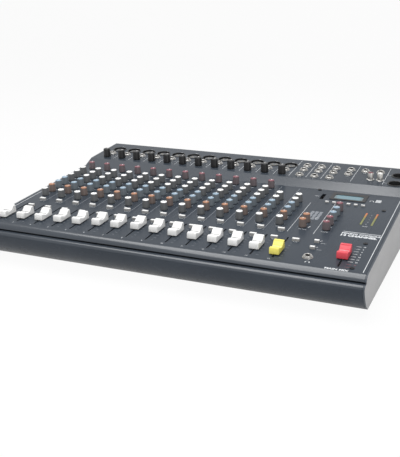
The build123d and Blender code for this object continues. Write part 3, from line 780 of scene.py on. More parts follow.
class Tree:
    """A Geometry Nodes tree with named inputs."""

    def __init__(self, name, inputs):
        self.tree = bpy.data.node_groups.new(name, "GeometryNodeTree")
        self.sockets = {}
        for label, kind in inputs:
            made = self.tree.interface.new_socket(label, in_out="INPUT", socket_type="NodeSocket" + kind)
            self.sockets[label] = made.identifier
        self.tree.interface.new_socket("Pieces", in_out="OUTPUT", socket_type="NodeSocketGeometry")
        self.start = self.tree.nodes.new("NodeGroupInput")

    def given(self, label):
        return self.start.outputs[label]

    def add(self, kind, settings=None, **inputs):
        """Adds a node. Its inputs are named with underscores, as values or sockets."""
        made = self.tree.nodes.new(kind)
        for name, value in (settings or {}).items():
            setattr(made, name, value)
        for name, value in inputs.items():
            socket = made.inputs[name.replace("_", " ")]
            if isinstance(value, bpy.types.NodeSocket):
                self.tree.links.new(value, socket)
            else:
                socket.default_value = value
        return made

    def finish(self, geometry):
        """Ends the tree: real geometry in its material."""
        real = self.add("GeometryNodeRealizeInstances", Geometry=geometry)
        painted = self.add("GeometryNodeSetMaterial", Geometry=real.outputs[0],
                           Material=self.given("Finish"))
        end = self.tree.nodes.new("NodeGroupOutput")
        self.tree.links.new(painted.outputs[0], end.inputs[0])
        return self

    def on_seats(self, geometry):
        """Stands a geometry on every seat, leaning with the panel."""
        lean = self.add("ShaderNodeCombineXYZ", X=self.given("Slope"))
        turn = self.add("FunctionNodeEulerToRotation", Euler=lean.outputs[0])
        return self.add("GeometryNodeInstanceOnPoints", Points=self.given("Seats"),
                        Instance=geometry, Rotation=turn.outputs[0]).outputs[0]


def seated_pieces():
    """Tree that stands a copy of a piece on every seat of a sloping panel."""
    tree = Tree("seated_pieces", [
        ("Seats", "Geometry"), ("Piece", "Object"), ("Slope", "Float"), ("Size", "Float"),
        ("Finish", "Material"),
    ])
    pattern = tree.add("GeometryNodeObjectInfo", Object=tree.given("Piece"))
    scaled = tree.add("ShaderNodeCombineXYZ", X=tree.given("Size"), Y=tree.given("Size"),
                      Z=tree.given("Size"))
    sized = tree.add("GeometryNodeTransform", Geometry=pattern.outputs["Geometry"],
                     Scale=scaled.outputs[0])
    return tree.finish(tree.on_seats(sized.outputs[0]))


def mark_ladders():
    """Tree that prints a ladder of marks up the slope from every seat."""
    tree = Tree("mark_ladders", [
        ("Seats", "Geometry"), ("Slope", "Float"), ("Marks", "Int"), ("Pitch", "Float"),
        ("Mark Width", "Float"), ("Mark Length", "Float"), ("Thickness", "Float"),
        ("Finish", "Material"),
    ])
    mark = tree.add("ShaderNodeCombineXYZ", X=tree.given("Mark Width"), Y=tree.given("Mark Length"),
                    Z=tree.given("Thickness"))
    block = tree.add("GeometryNodeMeshCube", Size=mark.outputs[0])
    step = tree.add("ShaderNodeCombineXYZ", Y=tree.given("Pitch"))
    line = tree.add("GeometryNodeMeshLine", {"mode": "OFFSET"}, Count=tree.given("Marks"),
                    Offset=step.outputs[0])
    ladder = tree.add("GeometryNodeInstanceOnPoints", Points=line.outputs[0],
                      Instance=block.outputs["Mesh"])
    return tree.finish(tree.on_seats(ladder.outputs[0]))


class Trees:
    """The trees, made once."""

    made = {}

    @classmethod
    def get(cls, maker):
        if maker not in cls.made:
            cls.made[maker] = maker()
        return cls.made[maker]


def grown(name, maker, feet, values):
    """Mesh that a tree makes on its seats, with the modifier taken off again."""
    tree = Trees.get(maker)
    mesh = bpy.data.meshes.new(name + "_seats")
    mesh.from_pydata([tuple(foot) for foot in feet], [], [])
    holder = bpy.data.objects.new(name + "_seats", mesh)
    bpy.context.scene.collection.objects.link(holder)
    modifier = holder.modifiers.new("repeat", "NODES")
    modifier.node_group = tree.tree
    for label, value in values.items():
        modifier[tree.sockets[label]] = value
    bpy.context.view_layer.update()
    evaluated = holder.evaluated_get(bpy.context.evaluated_depsgraph_get())
    result = bpy.data.meshes.new_from_object(evaluated)
    holder.modifiers.remove(modifier)
    bpy.data.objects.remove(holder)
    bpy.data.meshes.remove(mesh)
    result.name = name
    return result


def stand(name, pattern, feet, panel, finish, body=ROOT, replaces=()):
    """Stands copies of a pattern mesh on a panel as one piece."""
    source = bpy.data.objects.new(name + "_pattern", pattern)
    bpy.context.scene.collection.objects.link(source)
    values = {"Piece": source, "Slope": panel.slope, "Size": 1.0, "Finish": Finishes.get(finish)}
    mesh = grown(name, seated_pieces, feet, values)
    bpy.data.objects.remove(source)
    return piece(name, mesh, finish, body, replaces)


def ladders(name, feet, panel, marks, pitch, width, depth, finish):
    """Prints a ladder of marks up the panel from every seat as one piece."""
    values = {
        "Slope": panel.slope, "Marks": marks, "Pitch": pitch, "Mark Width": width,
        "Mark Length": depth, "Thickness": sizes().ink, "Finish": Finishes.get(finish),
    }
    return piece(name, grown(name, mark_ladders, feet, values), finish)


# Knobs ------------------------------------------------------------------------------------

def knob_grip(radius, height):
    """Fluted grip with a short plain skirt and a rim round its coloured top."""
    size = sizes()
    foot = size.knob_gap
    top = radius - size.knob_taper
    steps = size.flutes * 3
    levels = [
        (radius - 0.35 * MM, foot, 0.0), (radius, foot + 0.3 * MM, 0.0),
        (radius, foot + 1.5 * MM, 0.0), (radius - 0.05 * MM, foot + 2.0 * MM, 1.0),
        (top, height - 1.3 * MM, 1.0), (top - 0.25 * MM, height - 0.8 * MM, 0.6),
        (top - 0.55 * MM, height - 0.7 * MM, 0.0),
    ]
    loops = []
    for reach, z, fluted in levels:
        loop = []
        for index in range(steps):
            dip = size.flute_depth * fluted if index % 3 == 0 else 0.0
            angle = tau * index / steps
            loop.append(Vector(((reach - dip) * cos(angle), (reach - dip) * sin(angle), z)))
        loops.append(loop)
    return rings("knob_grip", loops)


def knob_top(radius, height):
    """Coloured top with a rounded rim, and the pointer rib down the side of the grip."""
    size = sizes()
    radius -= size.knob_taper
    dome = turned("knob_dome", [
        (radius - 0.5 * MM, height - 1.4 * MM), (radius - 0.3 * MM, height - 0.7 * MM),
        (radius - 0.35 * MM, height - 0.3 * MM), (radius - 0.8 * MM, height - 0.02 * MM),
        (radius - 2.6 * MM, height),
    ])
    rib_low, rib_high = size.knob_gap + 2.2 * MM, height - 0.75 * MM
    rib = slab("rib", rectangle(0.9 * MM, 0.6 * MM, (0.0, radius + 0.02 * MM)), rib_high - rib_low)
    return joined("knob_top", [(dome, Matrix()), (rib, Matrix.Translation((0, 0, rib_low)))])


def knob_pointer(radius, height):
    """Index line across the outer half of a knob's top."""
    reach = radius - sizes().knob_taper - 0.9 * MM
    line = slab("pointer", rectangle(0.7 * MM, reach * 0.85, (0.0, reach * 0.55)), 0.08 * MM)
    return joined("knob_pointer", [(line, Matrix.Translation((0, 0, height - 0.05 * MM)))])


def dial_ticks(radius):
    """Printed ticks round a knob, from one end of its turn to the other."""
    ends = joint("gain_knob_01_turn")["range_deg"]
    marks = 11
    parts = []
    tick = slab("tick", rectangle(0.28 * MM, 1.0 * MM, (0.0, radius + 1.5 * MM)), sizes().ink)
    for index in range(marks):
        turn = radians(ends[0] + (ends[1] - ends[0]) * index / (marks - 1))
        parts.append((tick, Matrix.Rotation(-turn, 4, "Z")))
    return joined("dial_ticks", parts)


def channel_tone(foot):
    """Colour of a channel knob's top, by its row from the front."""
    front = min(controls.row(seat) for seat in channel_knob_seats())
    pitch = abs(controls.row(knob_seat(MASTER_KNOBS[1])) - controls.row(knob_seat(MASTER_KNOBS[0])))
    order = ["white", "orange", "blue", "blue", "white", "white", "white"]
    index = round((controls.row(foot) - front) / pitch)
    return order[index] if index < len(order) else "red"


def shaft_seats(node, panel):
    """Feet of the shafts in a node of knobs."""
    return seats(node, panel, 4 * MM, 6 * MM)


def knob_seat(node):
    """Foot of the single knob in a node."""
    return shaft_seats(node, controls)[0]


def channel_knob_seats():
    """Feet of the fixed channel knobs."""
    if not _knob_seats:
        _knob_seats.extend(shaft_seats("channel_knobs", controls))
    return _knob_seats


_knob_seats = []


def knob_set(name, feet, tones, panel, size, body=ROOT, replaces=()):
    """Grips, tops and pointers of the knobs on one body, their size a radius and a height."""
    for tone in sorted(set(tones)):
        toned_feet = [foot for foot, its in zip(feet, tones) if its == tone]
        grip = "trim_knob" if tone == "black" else tone + "_grip"
        stand(f"{name}_{tone}_grips", knob_grip(*size), toned_feet, panel, grip, body, replaces)
        replaces = ()
        finish = "trim_knob" if tone == "black" else tone + "_top"
        stand(f"{name}_{tone}_tops", knob_top(*size), toned_feet, panel, finish, body)
        ink = "dark_ink" if tone == "white" else "white_top"
        stand(f"{name}_{tone}_pointers", knob_pointer(*size), toned_feet, panel, ink, body)


# Fader caps -------------------------------------------------------------------------------

def cap_profile(inset):
    """Side outline of a fader cap: raised ends, the rear one higher, and a ribbed dip between."""
    size = sizes()
    half = size.cap_length / 2 - inset
    lip = half - 5.0 * MM
    front, middle, rear = (z - inset for z in (size.cap_front, size.cap_middle, size.cap_height))
    bow, lean = (rear + front) / 2 - middle, (rear - front) / 2
    ribs = 12
    dip = []
    for index in range(2 * ribs + 1):
        share = index / ribs - 1.0
        groove = 0.28 * MM if index % 2 else 0.0
        dip.append((lip * share, middle + bow * share * share + lean * share - groove))
    return [(-y, z) for y, z in cap_end(half, front)] + dip + cap_end(half, rear)[::-1]


def cap_end(half, top):
    """Outline of one end of a fader cap, from its foot to the edge of the dip."""
    return [(half, 0.0), (half - 0.7 * MM, top - 0.9 * MM), (half - 1.5 * MM, top),
            (half - 4.5 * MM, top)]


def fader_cap(widening=0.0):
    """Fader cap with softened sides."""
    size = sizes()
    half = size.cap_width / 2 + widening
    levels = [(-half, 0.55), (-half + 0.12 * MM, 0.22), (-half + 0.5 * MM, 0.0)]
    levels += [(-x, inset) for x, inset in reversed(levels)]
    loops = []
    for x, inset in levels:
        loops.append([Vector((x, y, size.cap_gap + z)) for y, z in cap_profile(inset * MM)])
    return rings("fader_cap", loops)


def cap_line():
    """Index line across the middle of a fader cap's dip."""
    size = sizes()
    height = size.cap_gap + size.cap_middle
    line = slab("line", rectangle(size.cap_width - 1.4 * MM, 0.5 * MM), 0.3 * MM)
    return joined("cap_line", [(line, Matrix.Translation((0, 0, height - 0.12 * MM)))])


def fader_lever():
    """Steel lever from inside the slot up into the cap."""
    size = sizes()
    reach = 3.5 * MM
    blade = slab("blade", rectangle(1.0 * MM, 3.6 * MM), reach + size.cap_gap + 1.0 * MM)
    return joined("fader_lever", [(blade, Matrix.Translation((0, 0, -reach)))])


# Buttons ----------------------------------------------------------------------------------

def button_cap(width, depth, height):
    """Square-edged push-button cap from just inside its hole up to its crown."""
    loops = []
    for inset, z in ((0.0, -1.2), (0.0, height / MM - 0.4), (0.12, height / MM - 0.12),
                     (0.4, height / MM)):
        x, y, corner = width / 2 - inset * MM, depth / 2 - inset * MM, 0.25 * MM
        loop = []
        for a, b, start in ((1, 1, 0), (-1, 1, 90), (-1, -1, 180), (1, -1, 270)):
            for step in range(3):
                angle = radians(start + 45 * step)
                loop.append(Vector((a * (x - corner) + corner * cos(angle),
                                    b * (y - corner) + corner * sin(angle), z * MM)))
        loops.append(loop)
    return rings("button_cap", loops)


# Sockets ----------------------------------------------------------------------------------

def jack_ferrule():
    """Plated threaded neck of a jack socket, with its rolled mouth."""
    outer, bore, proud = 4.66 * MM, 3.2 * MM, 3.0 * MM
    profile = [(outer, 1.2 * MM)]
    threads = 3
    for index in range(threads):
        z = 1.2 * MM + (index + 0.5) * 0.45 * MM
        profile += [(outer + 0.14 * MM, z), (outer - 0.06 * MM, z + 0.22 * MM)]
    profile += [(outer - 0.15 * MM, proud), (bore + 0.45 * MM, proud + 0.05 * MM)]
    profile += [(bore, proud - 0.45 * MM), (bore, -1.0 * MM), (bore + 0.4 * MM, -1.0 * MM)]
    profile += [(bore + 0.6 * MM, 1.2 * MM)]
    return turned("jack_ferrule", profile, 24, closed=True)


def jack_nut():
    """Twelve-sided ring nut on a washer, its corners turned off."""
    across, bore, height = 5.6 * MM, 4.8 * MM, 2.0 * MM
    washer = turned("washer", [(bore, 0.05 * MM), (6.2 * MM, 0.05 * MM), (6.25 * MM, 0.3 * MM),
                               (6.1 * MM, 0.55 * MM), (bore, 0.55 * MM)], 28, closed=True)
    ring = turned("ring", [(bore, 0.5 * MM), (across, 0.55 * MM), (across, height - 0.35 * MM),
                           (across - 0.35 * MM, height), (bore, height)], 12, closed=True)
    ring.shade_flat()
    return joined("jack_nut", [(washer, Matrix()), (ring, Matrix())])


def contact_rims():
    """Three contact rims set in a microphone socket's insert."""
    sunk, reach = -1.2 * MM, 3.9 * MM
    rim = turned("rim", [(1.0 * MM, sunk - 3 * MM), (1.28 * MM, sunk - 3 * MM), (1.28 * MM, sunk),
                         (1.45 * MM, sunk + 0.1 * MM), (1.0 * MM, sunk + 0.1 * MM)], 12, closed=True)
    turns = [Matrix.Rotation(radians(angle), 4, "Z") for angle in (30, 150, 270)]
    return joined("contact_rims", [(rim, turn @ Matrix.Translation((reach, 0, 0))) for turn in turns])


def jack_liner():
    """Black lining of a jack socket's bore."""
    outer, bore = 3.18 * MM, 3.0 * MM
    return turned("jack_liner", [(outer, -8.0 * MM), (outer, 2.4 * MM), (bore, 2.4 * MM),
                                 (bore, -8.0 * MM)], 20, closed=True)


def socket_rim():
    """Rolled rim round a microphone or output socket."""
    return turned("socket_rim", [(9.75 * MM, 0.1 * MM), (10.9 * MM, 0.05 * MM), (11.15 * MM, 0.35 * MM),
                                 (10.9 * MM, 0.85 * MM), (10.2 * MM, 0.95 * MM),
                                 (9.75 * MM, 0.7 * MM)], 32, closed=True)


def phono_sleeve():
    """Plated phono sleeve, rolled at its mouth."""
    radius, wall, reach = 4.15 * MM, 0.45 * MM, 10.5 * MM
    return turned("phono_sleeve", [
        (radius, -1.0 * MM), (radius, reach - 0.3 * MM), (radius - 0.2 * MM, reach),
        (radius - wall, reach - 0.1 * MM), (radius - wall, -1.0 * MM),
    ], 28, closed=True)


def phono_core():
    """Coloured core of a phono socket, with its centre contact's bore."""
    radius, bore, reach = 3.68 * MM, 1.6 * MM, 9.7 * MM
    return turned("phono_core", [
        (radius, -1.0 * MM), (radius, reach - 0.3 * MM), (radius - 0.3 * MM, reach),
        (bore + 0.2 * MM, reach), (bore, reach - 0.2 * MM), (bore, -1.0 * MM),
    ], 24, closed=True)


def phono_foot():
    """Plated flange that a phono sleeve stands on."""
    return turned("phono_foot", [
        (3.9 * MM, 0.05 * MM), (5.6 * MM, 0.05 * MM), (5.6 * MM, 0.6 * MM), (5.2 * MM, 0.9 * MM),
        (4.3 * MM, 1.0 * MM), (3.9 * MM, 1.0 * MM),
    ], 24, closed=True)


# Print ------------------------------------------------------------------------------------

class Ink:
    """Collects the flat marks that are printed in one colour on the panels."""

    letters = {}

    def __init__(self):
        self.parts = []

    def bar(self, panel, x, row, width, depth):
        """A filled rectangle about a point."""
        mark = slab("mark", rectangle(width, depth), sizes().ink)
        self.parts.append((mark, panel.matrix(x, row)))

    def line(self, panel, x, low, high):
        """A dividing line up the slope."""
        self.bar(panel, x, (low + high) / 2, sizes().line, high - low)

    def words(self, panel, x, row, text, height, weight=0.0):
        """Plain lettering centred on a point, thickened by a weight."""
        self.parts.append((self.lettering(text, height, weight), panel.matrix(x, row)))

    def stroke(self, panel, start, end, width):
        """A straight stroke between two points of X and row."""
        along = Vector(end) - Vector(start)
        side = Vector((-along.y, along.x)).normalized() * width / 2
        corners = [Vector(start) - side, Vector(end) - side, Vector(end) + side, Vector(start) + side]
        mark = slab("stroke", [tuple(corner) for corner in corners], sizes().ink)
        self.parts.append((mark, panel.matrix(0.0, 0.0)))

    @classmethod
    def lettering(cls, text, height, weight):
        """Flat raised letters of a text, made once."""
        key = (text, round(height, 6), weight)
        if key not in cls.letters:
            words = bpy.data.curves.new("words", "FONT")
            words.body = text
            words.size = height * 1.4
            words.align_x = "CENTER"
            words.align_y = "CENTER"
            words.resolution_u = 2
            words.extrude = sizes().ink
            words.offset = weight
            holder = bpy.data.objects.new("words", words)
            bpy.context.scene.collection.objects.link(holder)
            bpy.context.view_layer.update()
            depsgraph = bpy.context.evaluated_depsgraph_get()
            cls.letters[key] = bpy.data.meshes.new_from_object(holder.evaluated_get(depsgraph))
            bpy.data.objects.remove(holder)
        return cls.letters[key]

    def show(self, name, finish):
        """Turns the marks into one piece."""
        piece(name, joined(name, self.parts), finish)


def fader_seat(node):
    """Foot of a fader's lever at rest."""
    return seats(node, controls, 0.0, 2 * MM)[0]


def print_channel_labels(ink):
    """Name of each channel control below its knob, and the channel numbers."""
    names = ["PAN", "FX", "AUX 2", "AUX 1", "LOW", "MID", "HIGH"]
    every = channel_knob_seats() + [knob_seat("gain_knob_01"), knob_seat("pan_knob_01")]
    front = min(controls.row(foot) for foot in every)
    pitch = abs(controls.row(knob_seat(MASTER_KNOBS[1])) - controls.row(knob_seat(MASTER_KNOBS[0])))
    for foot in every:
        index = round((controls.row(foot) - front) / pitch)
        name = names[index] if index < len(names) else "GAIN"
        ink.words(controls, foot.x, controls.row(foot) - pitch / 2, name, 1.7 * MM)
    for number, node in enumerate(sorted(FADERS)[:-1]):
        ink.words(controls, fader_seat(node).x - 3 * MM, -6.2 * MM, str(number + 1), 2.6 * MM)


def column_lines(ink, faint):
    """Dividing lines between the channel columns and round the master section."""
    knobs = channel_knob_seats()
    columns = sorted({round(foot.x, 5) for foot in knobs})
    pitch = columns[1] - columns[0]
    front = min(controls.row(foot) for foot in knobs)
    gain = controls.row(knob_seat("gain_knob_01"))
    for x in columns[:-1]:
        faint.bar(controls, x + pitch / 2, (front + gain) / 2 - 9 * MM, 0.4 * MM, gain - front + 34 * MM)
    effects = knob_seat(EFFECTS_KNOBS[0]).x
    master = knob_seat(MASTER_KNOBS[0]).x
    ink.line(controls, effects - pitch / 2, front - 21 * MM, front + 87 * MM)
    ink.line(controls, master - 11.2 * MM, front - 19 * MM, front + 94 * MM)
    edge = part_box("top_cover")[1].x - 4.0 * MM
    for x in (-edge, edge):
        ink.bar(controls, x, gain / 2 - 2 * MM, 0.7 * MM, gain + 12 * MM)


def socket_lines(ink):
    """Dividing lines and names on the socket panel."""
    nuts = [foot for foot in seats("jack_nuts", sockets, 8 * MM) if foot.y > 0]
    stereo = sorted({round(foot.x, 4) for foot in nuts})[12:]
    mics = seats("mic_sockets", sockets, 18 * MM)
    low, high = -6.5 * MM, 66 * MM
    first = stereo[0] - 14.5 * MM
    for x in [first] + [(a + b) / 2 for a, b in zip(stereo, stereo[1:3])]:
        ink.line(sockets, x, low, high)
    ink.line(sockets, (stereo[3] + stereo[4]) / 2 - 1.3 * MM, low, high)
    ink.line(sockets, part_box("output_sockets")[0].x - 6 * MM, low, high)
    mic_row = sockets.row(mics[0])
    pitch = mics[1].x - mics[0].x
    for number, foot in enumerate(mics):
        ink.words(sockets, foot.x + 8.6 * MM, 7.4 * MM, str(number + 1), 2.2 * MM)
        ink.words(sockets, foot.x - 9.0 * MM, 8.4 * MM, "LINE", 1.5 * MM)
        ink.words(sockets, foot.x, mic_row + 13.6 * MM, "MIC", 1.7 * MM)
        if number < len(mics) - 1:
            ink.line(sockets, foot.x + pitch / 2, low, mic_row - 12 * MM)
    for foot in nuts:
        if foot.x > first:
            ink.words(sockets, foot.x, sockets.row(foot) - 8.4 * MM, "AUX" if foot.x > stereo[3] - MM
                      else ("L" if round(foot.y, 3) > round(nuts[-1].y, 3) - MM else "R"), 1.6 * MM)
    for foot in seats("output_sockets", sockets, 15 * MM):
        ink.words(sockets, foot.x - 13.6 * MM, sockets.row(foot), "OUT", 1.6 * MM)


def fader_scales(ink, warm):
    """Scale of marks beside every fader, and the figures beside the main one."""
    main = fader_seat("main_fader")
    travel = joint("main_fader_slide")["range_m"]
    span = travel[1] - travel[0]
    feet = [controls.at(fader_seat(node).x + 8.4 * MM, 0.0) for node in FADERS]
    ladders("fader_scales", feet, controls, 9, span / 8, 3.0 * MM, 0.3 * MM, "grey_ink")
    right = [controls.at(main.x + 10.5 * MM, span / 4)]
    ladders("main_fader_scale", right, controls, 7, span / 8, 5.5 * MM, 0.7 * MM, "white_ink")
    for index in (0, 1):
        warm.bar(controls, main.x + 10.5 * MM, span * index / 8, 5.5 * MM, 0.9 * MM)
    figures = ["40", "30", "20", "15", "10", "5", "0", "5", "10"]
    for index, figure in enumerate(figures):
        target = warm if index < 2 else ink
        target.words(controls, main.x + 17.0 * MM, span * index / 8, figure, 2.0 * MM, 0.1 * MM)


def master_print(ink, grey):
    """Print of the master section: meters, effects list, headphones and names."""
    meters = sorted({round(middle.x, 4) for middle, _ in solids("meter_leds")})
    lamps = sorted({round(controls.row(controls.foot(middle)), 4) for middle, _ in solids("meter_leds")})
    middle = sum(meters) / 2
    steps = len(lamps)
    for index, row in enumerate(lamps):
        if index % 2 == 0:
            ink.words(controls, middle, row, str(abs(3 * (steps - 3 - index))), 1.7 * MM)
    ink.words(controls, middle, lamps[0] - 7 * MM, "LEVEL", 1.9 * MM)
    effects = knob_seat(EFFECTS_KNOBS[0])
    row = controls.row(effects)
    for index, node in enumerate(EFFECTS_KNOBS):
        seat = knob_seat(node)
        level = controls.row(seat)
        start = level + (16 * index - 2) * MM
        ink.stroke(controls, (seat.x + 7.4 * MM, start), (seat.x + 9 * MM, start + 6 * MM), 0.9 * MM)
        ink.words(controls, seat.x + 2 * MM, level - 8.4 * MM, "FX" if index else "TO MAIN", 1.7 * MM)
    lines = 10
    for column in range(3):
        for index in range(lines):
            grey.bar(controls, effects.x + (-1.5 + 5.6 * column) * MM, row + (29 + 3.0 * index) * MM,
                     (5.0 - (index * 3 + column) % 4 * 0.6) * MM, 1.9 * MM)
    for index, node in enumerate(MASTER_KNOBS):
        seat = knob_seat(node)
        name = ["PHONES", "AUX RTN", "AUX 2", "AUX 1", "FX"][index]
        ink.words(controls, seat.x, controls.row(seat) - 8.7 * MM, name, 1.7 * MM)
    main = fader_seat("main_fader")
    ink.words(controls, main.x, -9.2 * MM, "MAIN MIX", 4.2 * MM, 0.2 * MM)
    ink.words(controls, main.x + 5 * MM, 96 * MM, "MIXING CONSOLE", 4.0 * MM, 0.2 * MM)
    ink.bar(controls, main.x + 5 * MM, 101.6 * MM, 46 * MM, 1.0 * MM)
    ink.words(controls, main.x + 3 * MM, 89.5 * MM, "14 CHANNEL", 5.4 * MM, 0.35 * MM)
    phones = next(foot for foot in seats("jack_nuts", controls, 8 * MM) if foot.y < -0.05)
    headphones(ink, phones.x + 3 * MM, controls.row(phones) - 12.5 * MM)
    for node in ("source_button_1", "source_button_2"):
        seat = seats(node, controls, 4 * MM)[0]
        level = controls.row(seat)
        ink.bar(controls, seat.x + 8 * MM, level - 1.5 * MM, 6 * MM, 0.4 * MM)
        ink.stroke(controls, (seat.x + 3.2 * MM, level + 3 * MM), (seat.x + 5 * MM, level + 6.5 * MM),
                   0.5 * MM)
    slot = controls.foot(solids("media_socket")[0][0])
    ink.bar(controls, slot.x - 8 * MM, controls.row(slot), 6 * MM, 0.7 * MM)
    window, extent = solids("display_window")[0]
    side = window.x + extent.x / 2
    level = controls.row(controls.foot(window))
    headphones(ink, side + 12.5 * MM, level - 3 * MM)
    for index in range(4):
        ink.bar(controls, side + 21 * MM, level + (-5 + 2.6 * index) * MM, 7.5 * MM, 1.6 * MM)


def headphones(ink, x, row):
    """Plain headphone sign: a band and two ear pads."""
    steps = 8
    reach = 2.3 * MM
    angles = [pi * index / steps for index in range(steps + 1)]
    arc = [(x + reach * cos(angle), row + reach * sin(angle)) for angle in angles]
    for start, end in zip(arc, arc[1:]):
        ink.stroke(controls, start, end, 0.5 * MM)
    for side in (-1, 1):
        ink.bar(controls, x + side * reach, row - 0.8 * MM, 1.1 * MM, 2.0 * MM)


def button_names(ink):
    """Names beside the channel buttons."""
    every = seats("channel_buttons", controls, 7 * MM) + seats("mute_button_01", controls, 7 * MM)
    rows = sorted({round(controls.row(foot), 4) for foot in every})
    for foot in every:
        name = "MUTE" if abs(controls.row(foot) - rows[0]) < MM else "SOLO"
        ink.words(controls, foot.x, controls.row(foot) - 3.9 * MM, name, 1.6 * MM)


# Stage ------------------------------------------------------------------------------------

def stage_white(name, share):
    """Pale stage surface that the camera and reflections see as white, with its shadows kept."""
    skin = Finish(name)
    skin.set(base_color=(0.86, 0.86, 0.86), roughness=0.9, specular_ior_level=0.1)
    tree = skin.tree
    path = tree.nodes.new("ShaderNodeLightPath")
    seen = Field(skin, path.outputs["Is Camera Ray"])
    for ray in ("Is Glossy Ray", "Is Transmission Ray"):
        seen = seen.maths("MAXIMUM", Field(skin, path.outputs[ray]))
    glow = tree.nodes.new("ShaderNodeEmission")
    mixer = tree.nodes.new("ShaderNodeMixShader")
    skin.feed(mixer.inputs["Fac"], seen * share)
    tree.links.new(skin.shader.outputs["BSDF"], mixer.inputs[1])
    tree.links.new(glow.outputs["Emission"], mixer.inputs[2])
    output = next(node for node in tree.nodes if node.type == "OUTPUT_MATERIAL")
    tree.links.new(mixer.outputs["Shader"], output.inputs["Surface"])
    return skin.material


def floor_and_backdrop():
    """A wide floor under the feet that sweeps up into a backdrop far behind."""
    reach, depth, rise, bend = 4.0, 3.0, 2.6, 1.0
    steps = 12
    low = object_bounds()[0].z
    path = [(-reach, low)]
    for index in range(steps + 1):
        angle = pi / 2 * index / steps
        path.append((depth - bend + bend * sin(angle), low + bend - bend * cos(angle)))
    path.append((depth, low + rise))
    points = [(side * reach, y, z) for y, z in path for side in (-1, 1)]
    faces = [(2 * i, 2 * i + 1, 2 * i + 3, 2 * i + 2) for i in range(len(path) - 1)]
    mesh = bpy.data.meshes.new("floor")
    mesh.from_pydata(points, [], faces)
    mesh.shade_smooth()
    floor = bpy.data.objects.new("floor", mesh)
    mesh.materials.append(stage_white("pale_floor", 0.94))
    bpy.context.scene.collection.objects.link(floor)
    floor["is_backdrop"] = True


def soft_box(name, place, target, width, depth, watts):
    """A rectangular lamp that faces a point."""
    lamp = bpy.data.lights.new(name, "AREA")
    lamp.shape = "RECTANGLE"
    lamp.size = width
    lamp.size_y = depth
    lamp.energy = watts
    holder = bpy.data.objects.new(name, lamp)
    holder.location = place
    holder.rotation_euler = (Vector(target) - Vector(place)).to_track_quat("-Z", "Y").to_euler()
    bpy.context.scene.collection.objects.link(holder)


def room_light(strength):
    """Plain world: white to the camera and in reflections, and softer as a light."""
    world = bpy.data.worlds.new("room")
    bpy.context.scene.world = world
    world.use_nodes = True
    tree = world.node_tree
    tree.nodes.clear()
    path = tree.nodes.new("ShaderNodeLightPath")
    background = tree.nodes.new("ShaderNodeBackground")
    output = tree.nodes.new("ShaderNodeOutputWorld")
    seen = None
    for ray in ("Is Camera Ray", "Is Glossy Ray", "Is Transmission Ray"):
        if seen is None:
            seen = path.outputs[ray]
            continue
        either = tree.nodes.new("ShaderNodeMath")
        either.operation = "MAXIMUM"
        tree.links.new(seen, either.inputs[0])
        tree.links.new(path.outputs[ray], either.inputs[1])
        seen = either.outputs[0]
    level = tree.nodes.new("ShaderNodeMapRange")
    level.inputs["To Min"].default_value = strength
    level.inputs["To Max"].default_value = 1.0
    tree.links.new(seen, level.inputs["Value"])
    tree.links.new(level.outputs["Result"], background.inputs["Strength"])
    tree.links.new(background.outputs["Background"], output.inputs["Surface"])


def camera(studio):
    """Camera in front of the console and to its right."""
    lens = bpy.data.cameras.new("camera")
    lens.lens = studio.lens
    lens.sensor_width = 36.0
    holder = bpy.data.objects.new("camera", lens)
    holder.location = (0.3851, -0.9363, 0.3462)
    holder.rotation_euler = (pi / 2 - studio.pitch, 0.0, studio.heading)
    bpy.context.scene.collection.objects.link(holder)
    bpy.context.scene.camera = holder


# Operators --------------------------------------------------------------------------------

class CONSOLE_OT_frame_finishes(bpy.types.Operator):
    """Give every CAD node that stays in view its finish"""

    bl_idname = "console.frame_finishes"
    bl_label = "Frame finishes"

    special = {
        "jack_sockets": "jack_body",
        "output_sockets": "output_socket",
        "mic_sockets": "mic_socket",
        "base_pan": "base_paint",
        "mains_inlet": "mains_inlet",
    }

    def execute(self, context):
        for row in frame["record"]["subparts"]:
            node = frame["nodes"][row["node"]]
            finish = self.special.get(row["node"], row["material_slot"])
            if not node.material_slots:
                node.data.materials.append(None)
            for holder in node.material_slots:
                holder.material = Finishes.get(finish)
        return {"FINISHED"}


class CONSOLE_OT_knobs(bpy.types.Operator):
    """Make the fluted knobs with coloured tops"""

    bl_idname = "console.knobs"
    bl_label = "Knobs"

    def execute(self, context):
        size = sizes()
        feet = channel_knob_seats()
        tones = [channel_tone(foot) for foot in feet]
        channel_size = (size.knob_radius, size.knob_height)
        knob_set("channel_knobs", feet, tones, controls, channel_size, replaces=["channel_knobs"])
        for node in ("gain_knob_01", "pan_knob_01", *MASTER_KNOBS, *EFFECTS_KNOBS):
            seat = knob_seat(node)
            if node in MASTER_KNOBS:
                tone = ["red", "red", "blue", "blue", "red"][MASTER_KNOBS.index(node)]
            else:
                tone = "orange" if node in EFFECTS_KNOBS else channel_tone(seat)
            knob_set(node, [seat], [tone], controls, channel_size, node, [node])
        for node, body in (("trim_knob_01", "trim_knob_01"), ("trim_knobs", ROOT)):
            feet = shaft_seats(node, sockets)
            tones = ["black"] * len(feet)
            knob_set(node, feet, tones, sockets, (size.trim_radius, size.trim_height), body, [node])
        return {"FINISHED"}


